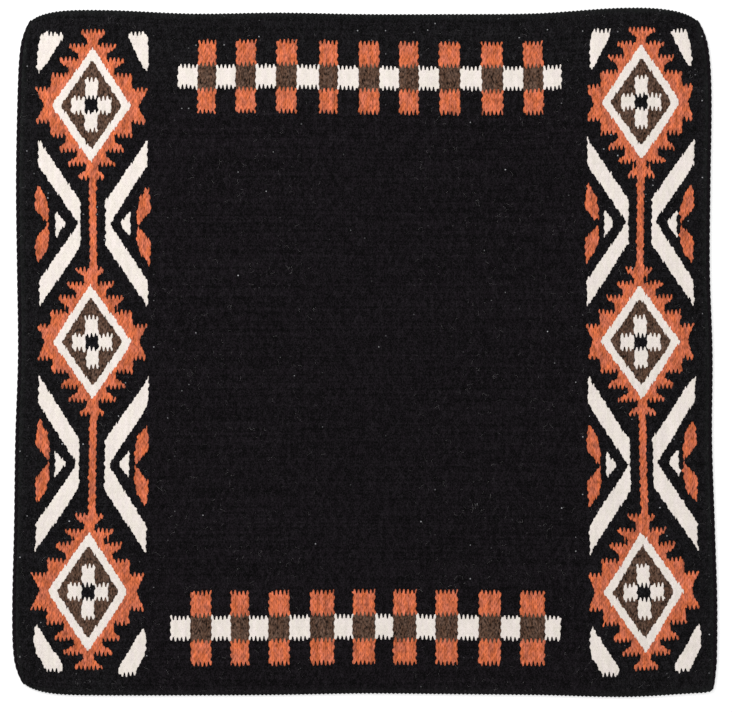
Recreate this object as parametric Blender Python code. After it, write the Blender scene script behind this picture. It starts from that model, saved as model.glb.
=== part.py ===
"""A saddle blanket: one thick weft-faced wool cloth, laid flat.

Metres, +Z up. The warp yarns run along X and the weft yarns along Y. The crease over the horse's
back is the line X = 0. Each colour area is woven with its own weft yarn, right through the cloth,
so each is a body of its own, a small clearance from its neighbours.
"""

import bpy

# The cloth
BLANKET_WIDTH = 0.900
BLANKET_LENGTH = 0.880
CLOTH_THICKNESS = 0.0065
YARN_CLEARANCE = 0.0003

# The edges of a used cloth are not quite straight. Each list runs from the bottom to the top of a
# side, or from the left to the right of an end, and is how far the edge stands out there.
EDGE_WANDER = 0.0065
LEFT_EDGE_SHARES = (0.60, 0.75, 0.38, 0.14, -0.40, -0.20, 0.00, -0.30, -0.90)
RIGHT_EDGE_SHARES = (0.60, 0.75, 0.24, -0.30, -0.20, -0.74, -0.60, -0.40, -1.00)
TOP_EDGE_SHARES = (0.30, 0.40, -0.30, -0.10, -0.40, -0.40, -0.24, 0.84, 0.60)
BOTTOM_EDGE_SHARES = (-0.20, 0.00, 0.00, -0.10, -0.38, -0.24, -0.06, 0.30, -0.60)
CORNER_RADIUS = 0.047
TOP_LEFT_CORNER_SHARE = 0.94
TOP_RIGHT_CORNER_SHARE = 1.06
BOTTOM_LEFT_CORNER_SHARE = 0.98
BOTTOM_RIGHT_CORNER_SHARE = 0.22
CORNER_REACH_SHARE = 2.0
CORNER_DEPTH_SHARE = 0.146
CORNER_SOFTNESS = 2.9
OUTLINE_STEP = 0.024
CORNER_STEP = 0.008

# The medallions, from the middle outwards
CROSS_CELL_WIDTH = 0.0177
CROSS_CELL_HEIGHT = 0.0233
CORE_SIDE_MARGIN = 0.0136
CORE_END_MARGIN = 0.0233
DIAMOND_BAND_SIDE = 0.0116
DIAMOND_BAND_END = 0.0168
STAR_RIM = 0.0097
STAR_CAP = 0.0227
SPIKE_REACH = 0.0123
SPIKE_HEIGHT_SHARES = (1.00, 0.816, 0.635, 0.431, 0.250)
SPIKE_NECK_SHARES = (0.116, 0.316, 0.505)
SPIKE_REACH_SHARES = (0.86, 0.95, 0.95)
SHOULDER_SHARE = 0.868
SPIKE_LIP_SHARE = 0.30
SPIKE_SLANT_SHARE = 0.75
STEM_HALF_WIDTH = 0.0052
BOTTOM_MEDALLION_STRETCH_SHARE = 1.05

# The side panels
PANEL_SIDE_MARGIN = 0.0197
PANEL_END_MARGIN = 0.0272
MEDALLION_WANDER = 0.0165
LEFT_MEDALLION_SHARES = (0.27, 0.80, 0.32)
RIGHT_MEDALLION_SHARES = (0.41, 1.00, 0.50)
AXIS_WANDER = 0.0042
LEFT_AXIS_SHARES = (0.15, 1.15, -0.10, 1.39, 0.46)
RIGHT_AXIS_SHARES = (0.70, 0.80, 0.00, 1.00, -0.28)
CHEVRON_STEM_GAP = 0.0103
LEFT_CHEVRON_LINK = 0.0034
RIGHT_CHEVRON_LINK = 0.0062
CHEVRON_TIP_INSET = 0.0026
CHEVRON_PAST_SHARE = 0.55
CHEVRON_FLAT_SHARE = 0.50
CHEVRON_SIDE_SHARE = 0.69
LOZENGE_WIDTH = 0.0198
LOZENGE_REACH_SHARE = 0.475
LOZENGE_TIP_SHARES = (0.75, 0.87)
LOZENGE_OUTER_SHARES = ((0.18, 0.06), (0.38, 0.12), (1.00, 0.40), (0.95, 0.76))
LOZENGE_INNER_SHARES = ((0.20, 0.66), (0.00, 0.34), (0.06, 0.06))
TRIANGLE_LOZENGE_GAP = 0.0056
TRIANGLE_DEPTH = 0.0155
TRIANGLE_HALF_HEIGHT = 0.0182
TOP_SLASH_SHARES = (
    (0.00, 0.96), (0.00, 0.86), (0.65, 0.19), (0.90, 0.00),
    (1.00, 0.14), (0.98, 0.64), (0.88, 0.92), (0.65, 1.00),
)
BOTTOM_SLASH_SHARES = (
    (0.07, 1.00), (0.00, 0.84), (0.17, 0.66), (0.45, 0.43), (0.77, 0.11), (0.90, 0.00),
    (0.98, 0.18), (1.00, 0.36), (0.93, 0.57), (0.67, 0.84), (0.55, 0.99),
)
TOP_SLASH_HEIGHT_SHARES = (0.433, 0.976)
BOTTOM_SLASH_HEIGHT_SHARES = (0.415, 1.040)
LEFT_SLASH_WIDTH_SHARES = (
    ("top_inner", 0.640, 1.020), ("top_outer", 0.474, 0.956),
    ("bottom_inner", 0.500, 1.009), ("bottom_outer", 0.456, 0.974),
)
RIGHT_SLASH_WIDTH_SHARES = (
    ("top_inner", 0.535, 0.930), ("top_outer", 0.518, 0.880),
    ("bottom_inner", 0.404, 0.947), ("bottom_outer", 0.544, 1.010),
)

# The weaver lets each motif stray a little from its place in the plan: to the right and up, in
# steps of MOTIF_STRAY. A medallion has its own stray at its top, at its middle and at its bottom.
MOTIF_STRAY = 0.0010
LEFT_MEDALLION_STRAYS = (
    ((0.5, 0.0), (1.0, 0.0), (2.5, 1.0)),
    ((0.5, 0.0), (2.5, 2.0), (4.5, 3.5)),
    ((0.5, 0.5), (0.5, 2.0), (0.5, 3.0)),
)
RIGHT_MEDALLION_STRAYS = (
    ((2.5, -2.0), (-0.5, 0.0), (1.5, 0.5)),
    ((2.0, -3.0), (1.0, -1.0), (4.0, 0.5)),
    ((1.5, -1.0), (1.5, -0.5), (5.0, 0.5)),
)
# How far the waist spikes of each medallion reach, those on its left and those on its right
LEFT_WAIST_SPIKE_SHARES = ((1.00, 1.00), (0.87, 0.90), (1.00, 1.00))
RIGHT_WAIST_SPIKE_SHARES = ((0.90, 0.60), (0.85, 0.70), (0.95, 0.85))
# The strays of the chevron, the triangle and the lozenge pair on one side of one stem
LEFT_GROUP_STRAYS = {
    "upper_inner": ((0.0, 1.5), (1.0, 1.0), (2.0, -1.5)),
    "upper_outer": ((0.0, 1.5), (-1.0, 0.5), (-2.0, 0.0)),
    "lower_inner": ((-0.5, 1.5), (-0.5, 3.0), (-1.0, 1.5)),
    "lower_outer": ((-1.5, 4.0), (-0.5, 4.0), (-0.5, 6.5)),
}
RIGHT_GROUP_STRAYS = {
    "upper_inner": ((0.5, -1.0), (0.5, -2.0), (0.5, -2.5)),
    "upper_outer": ((-1.5, 0.0), (0.0, -2.5), (-3.0, -2.5)),
    "lower_inner": ((-0.5, -0.5), (0.0, -0.5), (0.0, -2.0)),
    "lower_outer": ((-3.0, 2.0), (-1.5, 2.5), (-3.0, 2.5)),
}
LEFT_SLASH_STRAYS = {"top_inner": (-0.5, 1.5), "top_outer": (-1.5, 0.5),
                     "bottom_inner": (1.5, -1.0), "bottom_outer": (2.0, 3.0)}
RIGHT_SLASH_STRAYS = {"top_inner": (2.0, 0.0), "top_outer": (3.0, 1.0),
                      "bottom_inner": (1.5, -3.0), "bottom_outer": (1.0, -0.5)}

# The checker bands
CHECK_WIDTH = 0.0263
CHECK_HEIGHT = 0.0321
CHECK_EDGE_MARGIN = 0.0344
CHECK_PANEL_GAP = 0.0300
TOP_CHECK_WANDER = 0.0061
BOTTOM_CHECK_WANDER = 0.0010

CORD_BEVEL_RESOLUTION = 2
BLACK_WOOL = (0.0086, 0.0072, 0.0086, 1.0)
CREAM_WOOL = (0.830, 0.755, 0.690, 1.0)
TERRACOTTA_WOOL = (0.600, 0.158, 0.070, 1.0)
BROWN_WOOL = (0.090, 0.050, 0.036, 1.0)
WOOL_ROUGHNESS = 0.95

HALF_WIDTH = BLANKET_WIDTH / 2
HALF_LENGTH = BLANKET_LENGTH / 2
CORE_HALF_WIDTH = 1.5 * CROSS_CELL_WIDTH + CORE_SIDE_MARGIN
CORE_HALF_HEIGHT = 1.5 * CROSS_CELL_HEIGHT + CORE_END_MARGIN
DIAMOND_HALF_WIDTH = CORE_HALF_WIDTH + DIAMOND_BAND_SIDE
DIAMOND_HALF_HEIGHT = CORE_HALF_HEIGHT + DIAMOND_BAND_END
WAIST_HALF_WIDTH = DIAMOND_HALF_WIDTH + STAR_RIM
STAR_HALF_WIDTH = WAIST_HALF_WIDTH + SPIKE_REACH
STAR_HALF_HEIGHT = DIAMOND_HALF_HEIGHT + STAR_CAP
PANEL_AXIS = HALF_WIDTH - PANEL_SIDE_MARGIN - STAR_HALF_WIDTH
MEDALLION_PITCH = HALF_LENGTH - PANEL_END_MARGIN - STAR_HALF_HEIGHT

LEVELS = ("top", "middle", "bottom")
SIDES = (("left", -1), ("right", 1))
WAYS = (("inner", -1), ("outer", 1))


def clear_scene():
    for old in list(bpy.data.objects):
        bpy.data.objects.remove(old, do_unlink=True)


def wool(name, colour):
    """A plain wool material of this colour."""
    material = bpy.data.materials.new(name)
    material.use_nodes = True
    material.diffuse_color = colour
    shader = material.node_tree.nodes["Principled BSDF"]
    shader.inputs["Base Color"].default_value = colour
    shader.inputs["Roughness"].default_value = WOOL_ROUGHNESS
    shader.inputs["Metallic"].default_value = 0.0
    return material


def along(shares, place):
    """The smooth curve through evenly spaced shares, at a place from -1 to 1."""
    spans = len(shares) - 1
    at = min(max((place + 1) / 2, 0.0), 1.0) * spans
    first = min(int(at), spans - 1)
    t = at - first
    a, b, c, d = (shares[min(max(first + k, 0), spans)] for k in (-1, 0, 1, 2))
    return 0.5 * (2 * b + (c - a) * t + (2 * a - 5 * b + 4 * c - d) * t ** 2
                  + (3 * b - a - 3 * c + d) * t ** 3)


def corner_share(u, v):
    if v > 0:
        return TOP_RIGHT_CORNER_SHARE if u > 0 else TOP_LEFT_CORNER_SHARE
    return BOTTOM_RIGHT_CORNER_SHARE if u > 0 else BOTTOM_LEFT_CORNER_SHARE


def rounded(u, v):
    """A point of the square loom plan drawn in towards the middle near a corner."""
    zone = CORNER_REACH_SHARE * CORNER_RADIUS * corner_share(u, v)
    s = (abs(u) - HALF_WIDTH + zone) / zone
    t = (abs(v) - HALF_LENGTH + zone) / zone
    if s <= 0 or t <= 0:
        return u, v
    drawn_in = CORNER_DEPTH_SHARE * (s * t) ** CORNER_SOFTNESS
    across = abs(u) - zone * s * drawn_in
    up = abs(v) - zone * t * drawn_in
    return (across if u > 0 else -across), (up if v > 0 else -up)


def wandered(u, v):
    """Where a point of the loom plan lies in the relaxed cloth."""
    u, v = rounded(u, v)
    side = RIGHT_EDGE_SHARES if u > 0 else LEFT_EDGE_SHARES
    end = TOP_EDGE_SHARES if v > 0 else BOTTOM_EDGE_SHARES
    x = u * (1 + EDGE_WANDER * along(side, v / HALF_LENGTH) / HALF_WIDTH)
    y = v * (1 + EDGE_WANDER * along(end, u / HALF_WIDTH) / HALF_LENGTH)
    return x, y


def near_corner(u, v):
    zone = CORNER_REACH_SHARE * CORNER_RADIUS * corner_share(u, v)
    return abs(u) > HALF_WIDTH - zone and abs(v) > HALF_LENGTH - zone


def divided(points, closed=True):
    """The same outline with points added, so that it can follow the cloth's wander."""
    made = []
    for k, (u, v) in enumerate(points):
        made.append((u, v))
        if k == len(points) - 1 and not closed:
            break
        end_u, end_v = points[(k + 1) % len(points)]
        length = ((end_u - u) ** 2 + (end_v - v) ** 2) ** 0.5
        spent = 0.0
        while True:
            share = spent / length if length else 1.0
            here_u, here_v = u + (end_u - u) * share, v + (end_v - v) * share
            spent += CORNER_STEP if near_corner(here_u, here_v) else OUTLINE_STEP
            if spent > length - CORNER_STEP / 2:
                break
            share = spent / length
            made.append((u + (end_u - u) * share, v + (end_v - v) * share))
    return made


def middle_height():
    """How far the middle of the wandering outline stands above the middle of the loom plan."""
    steps = int(BLANKET_WIDTH / CORNER_STEP)
    places = [BLANKET_WIDTH * (k / steps - 0.5) for k in range(steps + 1)]
    highest = max(wandered(u, HALF_LENGTH)[1] for u in places)
    lowest = min(wandered(u, -HALF_LENGTH)[1] for u in places)
    return (highest + lowest) / 2


MIDDLE_HEIGHT = middle_height()


def laid(points):
    """These points of the loom plan as they lie in the cloth."""
    places = (wandered(u, v) for u, v in points)
    return [(x, y - MIDDLE_HEIGHT) for x, y in places]


def normals(points, closed):
    """For each point, the mitred way to the left of the path."""
    ways = []
    for k, (x, y) in enumerate(points):
        before = points[k - 1] if closed or k else None
        after = points[(k + 1) % len(points)] if closed or k < len(points) - 1 else None
        sides = []
        for a, b in ((before, (x, y)), ((x, y), after)):
            if a is None or b is None:
                continue
            dx, dy = b[0] - a[0], b[1] - a[1]
            length = (dx * dx + dy * dy) ** 0.5
            sides.append((-dy / length, dx / length))
        first, last = sides[0], sides[-1]
        spread = 1 + first[0] * last[0] + first[1] * last[1]
        ways.append(((first[0] + last[0]) / spread, (first[1] + last[1]) / spread))
    return ways


def moved(points, distance, closed=True):
    """The path moved to its left: inwards for a closed one that runs anticlockwise."""
    return [(x + nx * distance, y + ny * distance)
            for (x, y), (nx, ny) in zip(points, normals(points, closed))]


def anticlockwise(points):
    turned = sum(x * points[(k + 1) % len(points)][1] - points[(k + 1) % len(points)][0] * y
                 for k, (x, y) in enumerate(points))
    return points if turned > 0 else points[::-1]


def ring(points):
    """A colour area's outline in the cloth, from its outline in the loom plan."""
    return anticlockwise(laid(divided(points)))


def add_plate(name, outer, holes, material, collection):
    """A colour area as a body of the cloth's thickness, half a clearance inside its outline."""
    curve = bpy.data.curves.new(name, "CURVE")
    curve.dimensions = "2D"
    curve.fill_mode = "BOTH"
    curve.extrude = CLOTH_THICKNESS / 2
    rings = [moved(outer, YARN_CLEARANCE / 2)]
    rings += [moved(hole, -YARN_CLEARANCE / 2) for hole in holes]
    for points in rings:
        spline = curve.splines.new("POLY")
        spline.points.add(len(points) - 1)
        for point, (x, y) in zip(spline.points, points):
            point.co = (x, y, 0.0, 1.0)
        spline.use_cyclic_u = True
    curve.materials.append(material)
    plate = bpy.data.objects.new(name, curve)
    plate.location.z = CLOTH_THICKNESS / 2
    collection.objects.link(plate)
    return plate


def add_cord(name, path, material, collection):
    """A round cord as thick as the cloth, along this path, with its underside on the floor."""
    curve = bpy.data.curves.new(name, "CURVE")
    curve.dimensions = "3D"
    curve.bevel_depth = CLOTH_THICKNESS / 2
    curve.bevel_resolution = CORD_BEVEL_RESOLUTION
    curve.use_fill_caps = True
    spline = curve.splines.new("POLY")
    spline.points.add(len(path) - 1)
    for point, (x, y) in zip(spline.points, path):
        point.co = (x, y, 0.0, 1.0)
    curve.materials.append(material)
    cord = bpy.data.objects.new(name, curve)
    cord.location.z = CLOTH_THICKNESS / 2
    collection.objects.link(cord)
    return cord


def side_edge(side):
    """One side edge of the cloth from bottom to top, as it lies."""
    return laid(divided([(side * HALF_WIDTH, -HALF_LENGTH), (side * HALF_WIDTH, HALF_LENGTH)],
                        closed=False))


def inside(path, side, distance):
    """A side edge moved this far into the cloth."""
    return moved(path, side * distance, closed=False)


def cord_path(side):
    """The middle of the end cord, stopped a clearance short of the ground at each corner."""
    path = inside(side_edge(side), side, CLOTH_THICKNESS / 2)
    trimmed = list(path)
    for end, neighbour in ((0, 1), (-1, -2)):
        (x, y), (toward_x, toward_y) = path[end], path[neighbour]
        length = ((toward_x - x) ** 2 + (toward_y - y) ** 2) ** 0.5
        share = YARN_CLEARANCE / length
        trimmed[end] = (x + (toward_x - x) * share, y + (toward_y - y) * share)
    return trimmed


def checker_cells(side, wander):
    """(near edge, far edge, half height) of each square column on this side of the crease."""
    reach = PANEL_AXIS - STAR_HALF_WIDTH - CHECK_PANEL_GAP
    count = max(1, int(2 * reach / CHECK_WIDTH))
    count -= 1 - count % 2
    cells = []
    for k in range(count):
        start = wander + (k - count / 2) * CHECK_WIDTH
        ends = sorted((side * start, side * (start + CHECK_WIDTH)))
        near, far = max(ends[0], 0.0), ends[1]
        if far > near:
            cells.append((near, far, CHECK_HEIGHT * (1.5 if k % 2 else 0.5)))
    return sorted(cells)


def checker_path(side, middle, wander):
    """The half band's outline, from the crease out along its top and back along its underside."""
    cells = checker_cells(side, wander)
    upper = []
    for near, far, half_height in cells:
        upper += [(near, half_height), (far, half_height)]
    lower = [(u, -h) for u, h in reversed(upper)]
    return [(side * u, middle + h) for u, h in upper + lower]


def checker_places():
    middle = HALF_LENGTH - CHECK_EDGE_MARGIN - 1.5 * CHECK_HEIGHT
    return (("top", middle, TOP_CHECK_WANDER), ("bottom", -middle, BOTTOM_CHECK_WANDER))


def ground_ring(side):
    """The ground's own outline: the crease, with both checker bands let in, and the edges."""
    lower = [(0.0, -HALF_LENGTH), (side * HALF_WIDTH, -HALF_LENGTH)]
    upper = [(side * HALF_WIDTH, HALF_LENGTH), (0.0, HALF_LENGTH)]
    crease = [(0.0, HALF_LENGTH)]
    for _, middle, wander in checker_places():
        crease += checker_path(side, middle, wander)
    crease.append((0.0, -HALF_LENGTH))
    edge = inside(side_edge(side), side, CLOTH_THICKNESS + YARN_CLEARANCE / 2)
    points = laid(divided(lower, closed=False))
    points += edge
    points += laid(divided(upper, closed=False))
    points += laid(divided(crease, closed=False))[1:-1]
    return anticlockwise(points)


def stretch(level):
    return BOTTOM_MEDALLION_STRETCH_SHARE if level == "bottom" else 1.0


def medallion_heights(side):
    """The heights of the three medallions' middles in the loom plan, from the top down."""
    shares = RIGHT_MEDALLION_SHARES if side > 0 else LEFT_MEDALLION_SHARES
    return [rows * MEDALLION_PITCH + MEDALLION_WANDER * share
            for rows, share in zip((1, 0, -1), shares)]


def panel_axes(side):
    """Where a panel's axis runs at each medallion and at each stem between, from the top down."""
    shares = RIGHT_AXIS_SHARES if side > 0 else LEFT_AXIS_SHARES
    axes = [side * PANEL_AXIS + AXIS_WANDER * share for share in shares]
    return axes[0::2], axes[1::2]


def star_quarter(waist_share):
    """The starburst's outline from its top spike down to its waist, on one side."""
    heights = [STAR_HALF_HEIGHT * share for share in SPIKE_HEIGHT_SHARES]
    points = []
    for k, (neck_share, reach_share) in enumerate(zip(SPIKE_NECK_SHARES, SPIKE_REACH_SHARES)):
        neck = WAIST_HALF_WIDTH * neck_share
        tip = neck + SPIKE_REACH * reach_share
        drop = heights[k] - heights[k + 1]
        points += [(tip, heights[k]), (tip, heights[k] - drop * SPIKE_LIP_SHARE),
                   (neck, heights[k] - drop * SPIKE_SLANT_SHARE), (neck, heights[k + 1])]
    shoulder = WAIST_HALF_WIDTH * SHOULDER_SHARE
    points += [(shoulder, heights[3]), (shoulder, heights[4])]
    points += [(WAIST_HALF_WIDTH + SPIKE_REACH * waist_share, heights[4]), (WAIST_HALF_WIDTH, 0.0)]
    return points


def star_side(level, waist_share):
    """One whole side of a starburst, from its top spike to its bottom spike."""
    quarter = [(x, h * stretch(level)) for x, h in star_quarter(waist_share)]
    return quarter + [(x, -h) for x, h in quarter[-2::-1]]


def in_medallion(side, row, height, points):
    """Points drawn about a medallion's middle, where its own strays leave them."""
    top, middle, bottom = (RIGHT_MEDALLION_STRAYS if side > 0 else LEFT_MEDALLION_STRAYS)[row]
    axis, tall = panel_axes(side)[0][row], STAR_HALF_HEIGHT * stretch(LEVELS[row])
    placed = []
    for x, h in points:
        end, share = (top if h > 0 else bottom), abs(h) / tall
        right, up = (m + (e - m) * share for m, e in zip(middle, end))
        placed.append((axis + x + MOTIF_STRAY * right, height + h + MOTIF_STRAY * up))
    return placed


def star_column_ring(side, heights):
    """Three starbursts joined by their two stems, as one outline."""
    stem_axes = panel_axes(side)[1]
    waist_shares = RIGHT_WAIST_SPIKE_SHARES if side > 0 else LEFT_WAIST_SPIKE_SHARES
    halves = []
    for way in (1, -1):
        half = []
        for k, level in enumerate(LEVELS):
            outline = star_side(level, waist_shares[k][(way + 1) // 2])
            points = in_medallion(side, k, heights[k], [(way * x, h) for x, h in outline])
            if k:
                half.append((stem_axes[k - 1] + way * STEM_HALF_WIDTH, points[0][1]))
            half += points
            if k < len(LEVELS) - 1:
                half.append((stem_axes[k] + way * STEM_HALF_WIDTH, points[-1][1]))
        halves.append(half)
    return ring(halves[0] + halves[1][::-1])


def diamond_ring(side, row, height, half_width, half_height):
    tall = half_height * stretch(LEVELS[row])
    return ring(in_medallion(side, row, height, [
        (half_width, 0.0), (0.0, tall), (-half_width, 0.0), (0.0, -tall)]))


def cross_ring(side, row, height):
    across, up = CROSS_CELL_WIDTH / 2, CROSS_CELL_HEIGHT / 2 * stretch(LEVELS[row])
    corners = [(3, 1), (1, 1), (1, 3), (-1, 3), (-1, 1), (-3, 1),
               (-3, -1), (-1, -1), (-1, -3), (1, -3), (1, -1), (3, -1)]
    return ring(in_medallion(side, row, height, [(across * x, up * h) for x, h in corners]))


def stems(heights):
    """(name, middle, half length) of the stem in each gap between two medallions."""
    made = []
    for k, name in enumerate(("upper", "lower")):
        start = heights[k] - STAR_HALF_HEIGHT * stretch(LEVELS[k])
        end = heights[k + 1] + STAR_HALF_HEIGHT * stretch(LEVELS[k + 1])
        made.append((name, (start + end) / 2, (start - end) / 2))
    return made


def beside(axis, turn, middle, stray, points):
    """An outline drawn outwards from a panel's axis, put to its right, or its left with turn -1."""
    right, up = (MOTIF_STRAY * share for share in stray)
    return ring([(axis + right + turn * x, middle + up + h) for x, h in points])


def chevron_reach(half_stem):
    return half_stem + STAR_HALF_HEIGHT * CHEVRON_PAST_SHARE


def chevron_ring(axis, turn, middle, stray, half_stem):
    near = STEM_HALF_WIDTH + CHEVRON_STEM_GAP
    link = RIGHT_CHEVRON_LINK if turn > 0 else LEFT_CHEVRON_LINK
    tip = STAR_HALF_WIDTH - CHEVRON_TIP_INSET
    reach = chevron_reach(half_stem)
    flat = half_stem * CHEVRON_FLAT_SHARE
    return beside(axis, turn, middle, stray, [
        (near, flat), (near, -flat), (tip, -reach), (tip, -reach * CHEVRON_SIDE_SHARE),
        (near + link, 0.0), (tip, reach * CHEVRON_SIDE_SHARE), (tip, reach)])


def lozenge_ring(axis, turn, middle, stray, half_stem):
    """Two lobes joined by a thin neck, each from the neck round its outer side to its tip."""
    near, reach = STAR_HALF_WIDTH - LOZENGE_WIDTH, chevron_reach(half_stem) * LOZENGE_REACH_SHARE
    upper, lower = ([(near + LOZENGE_WIDTH * x, reach * h)
                     for x, h in LOZENGE_OUTER_SHARES + ((tip, 1.00),) + LOZENGE_INNER_SHARES]
                    for tip in LOZENGE_TIP_SHARES)
    return beside(axis, turn, middle, stray, upper + [(x, -h) for x, h in reversed(lower)])


def triangle_ring(axis, turn, middle, stray):
    base = STAR_HALF_WIDTH - LOZENGE_WIDTH - TRIANGLE_LOZENGE_GAP
    return beside(axis, turn, middle, stray, [
        (base, TRIANGLE_HALF_HEIGHT), (base - TRIANGLE_DEPTH, 0.0), (base, -TRIANGLE_HALF_HEIGHT)])


def slash_ring(axis, turn, height, stray, level, near_share, far_share):
    """A stroke beside a starburst's tip, between two shares of the starburst's half width."""
    outline = TOP_SLASH_SHARES if level == "top" else BOTTOM_SLASH_SHARES
    low, high = TOP_SLASH_HEIGHT_SHARES if level == "top" else BOTTOM_SLASH_HEIGHT_SHARES
    tall = STAR_HALF_HEIGHT * stretch(level) * (1 if level == "top" else -1)
    return beside(axis, turn, height, stray, [
        (STAR_HALF_WIDTH * (near_share + (far_share - near_share) * x),
         tall * (low + (high - low) * h)) for x, h in outline])


def add_medallions(label, side, heights, wools, collection):
    """The star column and what lies in each starburst. Returns the column's outline."""
    outlines = []
    for row, (level, height) in enumerate(zip(LEVELS, heights)):
        band = diamond_ring(side, row, height, DIAMOND_HALF_WIDTH, DIAMOND_HALF_HEIGHT)
        core = diamond_ring(side, row, height, CORE_HALF_WIDTH, CORE_HALF_HEIGHT)
        cross = cross_ring(side, row, height)
        add_plate(f"{label}_{level}_diamond_band", band, [core], wools["cream"], collection)
        add_plate(f"{label}_{level}_diamond_core", core, [cross], wools["brown"], collection)
        add_plate(f"{label}_{level}_cross", cross, [], wools["cream"], collection)
        outlines.append(band)
    column = star_column_ring(side, heights)
    add_plate(f"{label}_star_column", column, outlines, wools["terracotta"], collection)
    return column


def add_beside_stems(label, side, heights, wools, collection):
    """The chevron, triangle and lozenge pair on each side of each stem, and their outlines."""
    outlines = []
    strays = RIGHT_GROUP_STRAYS if side > 0 else LEFT_GROUP_STRAYS
    for (gap, middle, half_stem), axis in zip(stems(heights), panel_axes(side)[1]):
        for way_name, way in WAYS:
            name = f"{label}_{gap}_{way_name}"
            of_chevron, of_triangle, of_lozenge = strays[f"{gap}_{way_name}"]
            chevron = chevron_ring(axis, side * way, middle, of_chevron, half_stem)
            triangle = triangle_ring(axis, side * way, middle, of_triangle)
            lozenge = lozenge_ring(axis, side * way, middle, of_lozenge, half_stem)
            add_plate(f"{name}_chevron", chevron, [], wools["cream"], collection)
            add_plate(f"{name}_triangle", triangle, [], wools["cream"], collection)
            add_plate(f"{name}_lozenge_pair", lozenge, [], wools["terracotta"], collection)
            outlines += [chevron, triangle, lozenge]
    return outlines


def add_slashes(label, side, heights, wools, collection):
    """The slanted strokes in the corners of a panel, and their outlines."""
    outlines = []
    strays = RIGHT_SLASH_STRAYS if side > 0 else LEFT_SLASH_STRAYS
    for name, near_share, far_share in (
            RIGHT_SLASH_WIDTH_SHARES if side > 0 else LEFT_SLASH_WIDTH_SHARES):
        level, way_name = name.split("_")
        row = LEVELS.index(level)
        turn = side * dict(WAYS)[way_name]
        slash = slash_ring(panel_axes(side)[0][row], turn, heights[row], strays[name], level,
                           near_share, far_share)
        add_plate(f"{label}_{name}_slash", slash, [], wools["cream"], collection)
        outlines.append(slash)
    return outlines


def add_checker_bands(label, side, wools, collection):
    for end, middle, wander in checker_places():
        band = ring(checker_path(side, middle, wander))
        add_plate(f"{label}_{end}_checker_band", band, [], wools["cream"], collection)


def add_half(label, side, wools, collection):
    """Everything on one side of the crease."""
    heights = medallion_heights(side)
    outlines = [add_medallions(label, side, heights, wools, collection)]
    outlines += add_beside_stems(label, side, heights, wools, collection)
    outlines += add_slashes(label, side, heights, wools, collection)
    add_checker_bands(label, side, wools, collection)
    add_plate(f"{label}_ground", ground_ring(side), outlines, wools["black"], collection)
    add_cord(f"{label}_end_cord", cord_path(side), wools["black"], collection)


def main():
    clear_scene()
    collection = bpy.data.collections.new("saddle_blanket")
    bpy.context.scene.collection.children.link(collection)
    wools = {
        "black": wool("black_wool", BLACK_WOOL),
        "cream": wool("cream_wool", CREAM_WOOL),
        "terracotta": wool("terracotta_wool", TERRACOTTA_WOOL),
        "brown": wool("brown_wool", BROWN_WOOL),
    }
    for label, side in SIDES:
        add_half(label, side, wools, collection)


main()
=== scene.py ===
"""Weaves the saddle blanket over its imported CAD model: each weft float, the cords and the nap."""

import functools
import math

import bpy
import numpy as np
from bpy.props import FloatProperty, FloatVectorProperty, IntProperty, PointerProperty
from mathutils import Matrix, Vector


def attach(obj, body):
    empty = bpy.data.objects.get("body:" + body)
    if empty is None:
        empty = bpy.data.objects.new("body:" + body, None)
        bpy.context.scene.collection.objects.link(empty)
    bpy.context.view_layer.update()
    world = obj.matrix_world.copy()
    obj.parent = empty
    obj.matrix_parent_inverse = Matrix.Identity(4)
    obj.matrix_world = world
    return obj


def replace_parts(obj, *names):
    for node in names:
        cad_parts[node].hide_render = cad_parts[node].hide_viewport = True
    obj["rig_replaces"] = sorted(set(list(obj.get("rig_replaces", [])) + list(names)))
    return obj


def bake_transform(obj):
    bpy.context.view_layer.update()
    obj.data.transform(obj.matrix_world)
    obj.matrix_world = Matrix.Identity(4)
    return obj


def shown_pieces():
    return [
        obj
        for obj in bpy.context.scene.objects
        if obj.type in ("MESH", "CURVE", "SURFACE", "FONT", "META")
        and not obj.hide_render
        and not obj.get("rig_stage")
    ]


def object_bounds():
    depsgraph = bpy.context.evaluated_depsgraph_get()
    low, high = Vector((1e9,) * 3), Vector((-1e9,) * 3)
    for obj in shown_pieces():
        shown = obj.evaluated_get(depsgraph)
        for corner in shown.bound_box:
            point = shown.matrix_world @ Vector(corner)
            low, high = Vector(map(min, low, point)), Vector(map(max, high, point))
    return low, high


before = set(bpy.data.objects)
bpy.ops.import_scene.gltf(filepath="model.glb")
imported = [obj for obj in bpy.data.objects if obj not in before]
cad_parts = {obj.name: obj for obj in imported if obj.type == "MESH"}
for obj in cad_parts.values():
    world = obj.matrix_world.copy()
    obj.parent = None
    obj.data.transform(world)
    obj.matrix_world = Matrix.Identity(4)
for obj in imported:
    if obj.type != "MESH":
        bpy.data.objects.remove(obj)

bl_info = {
    "name": "Woven Saddle Blanket",
    "version": (1, 0, 0),
    "blender": (4, 5, 0),
    "location": "View3D > Sidebar > Blanket",
    "description": "Weaves a thick wool saddle blanket, yarn by yarn, over its plain solids",
    "category": "Object",
}

CAD_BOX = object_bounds()
THICKNESS = CAD_BOX[1].z - CAD_BOX[0].z

HALVES = ("left", "right")
LEVELS = ("top", "middle", "bottom")
ENDS = ("top", "bottom")
GAPS = ("upper", "lower")
WAYS = ("inner", "outer")

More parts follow.
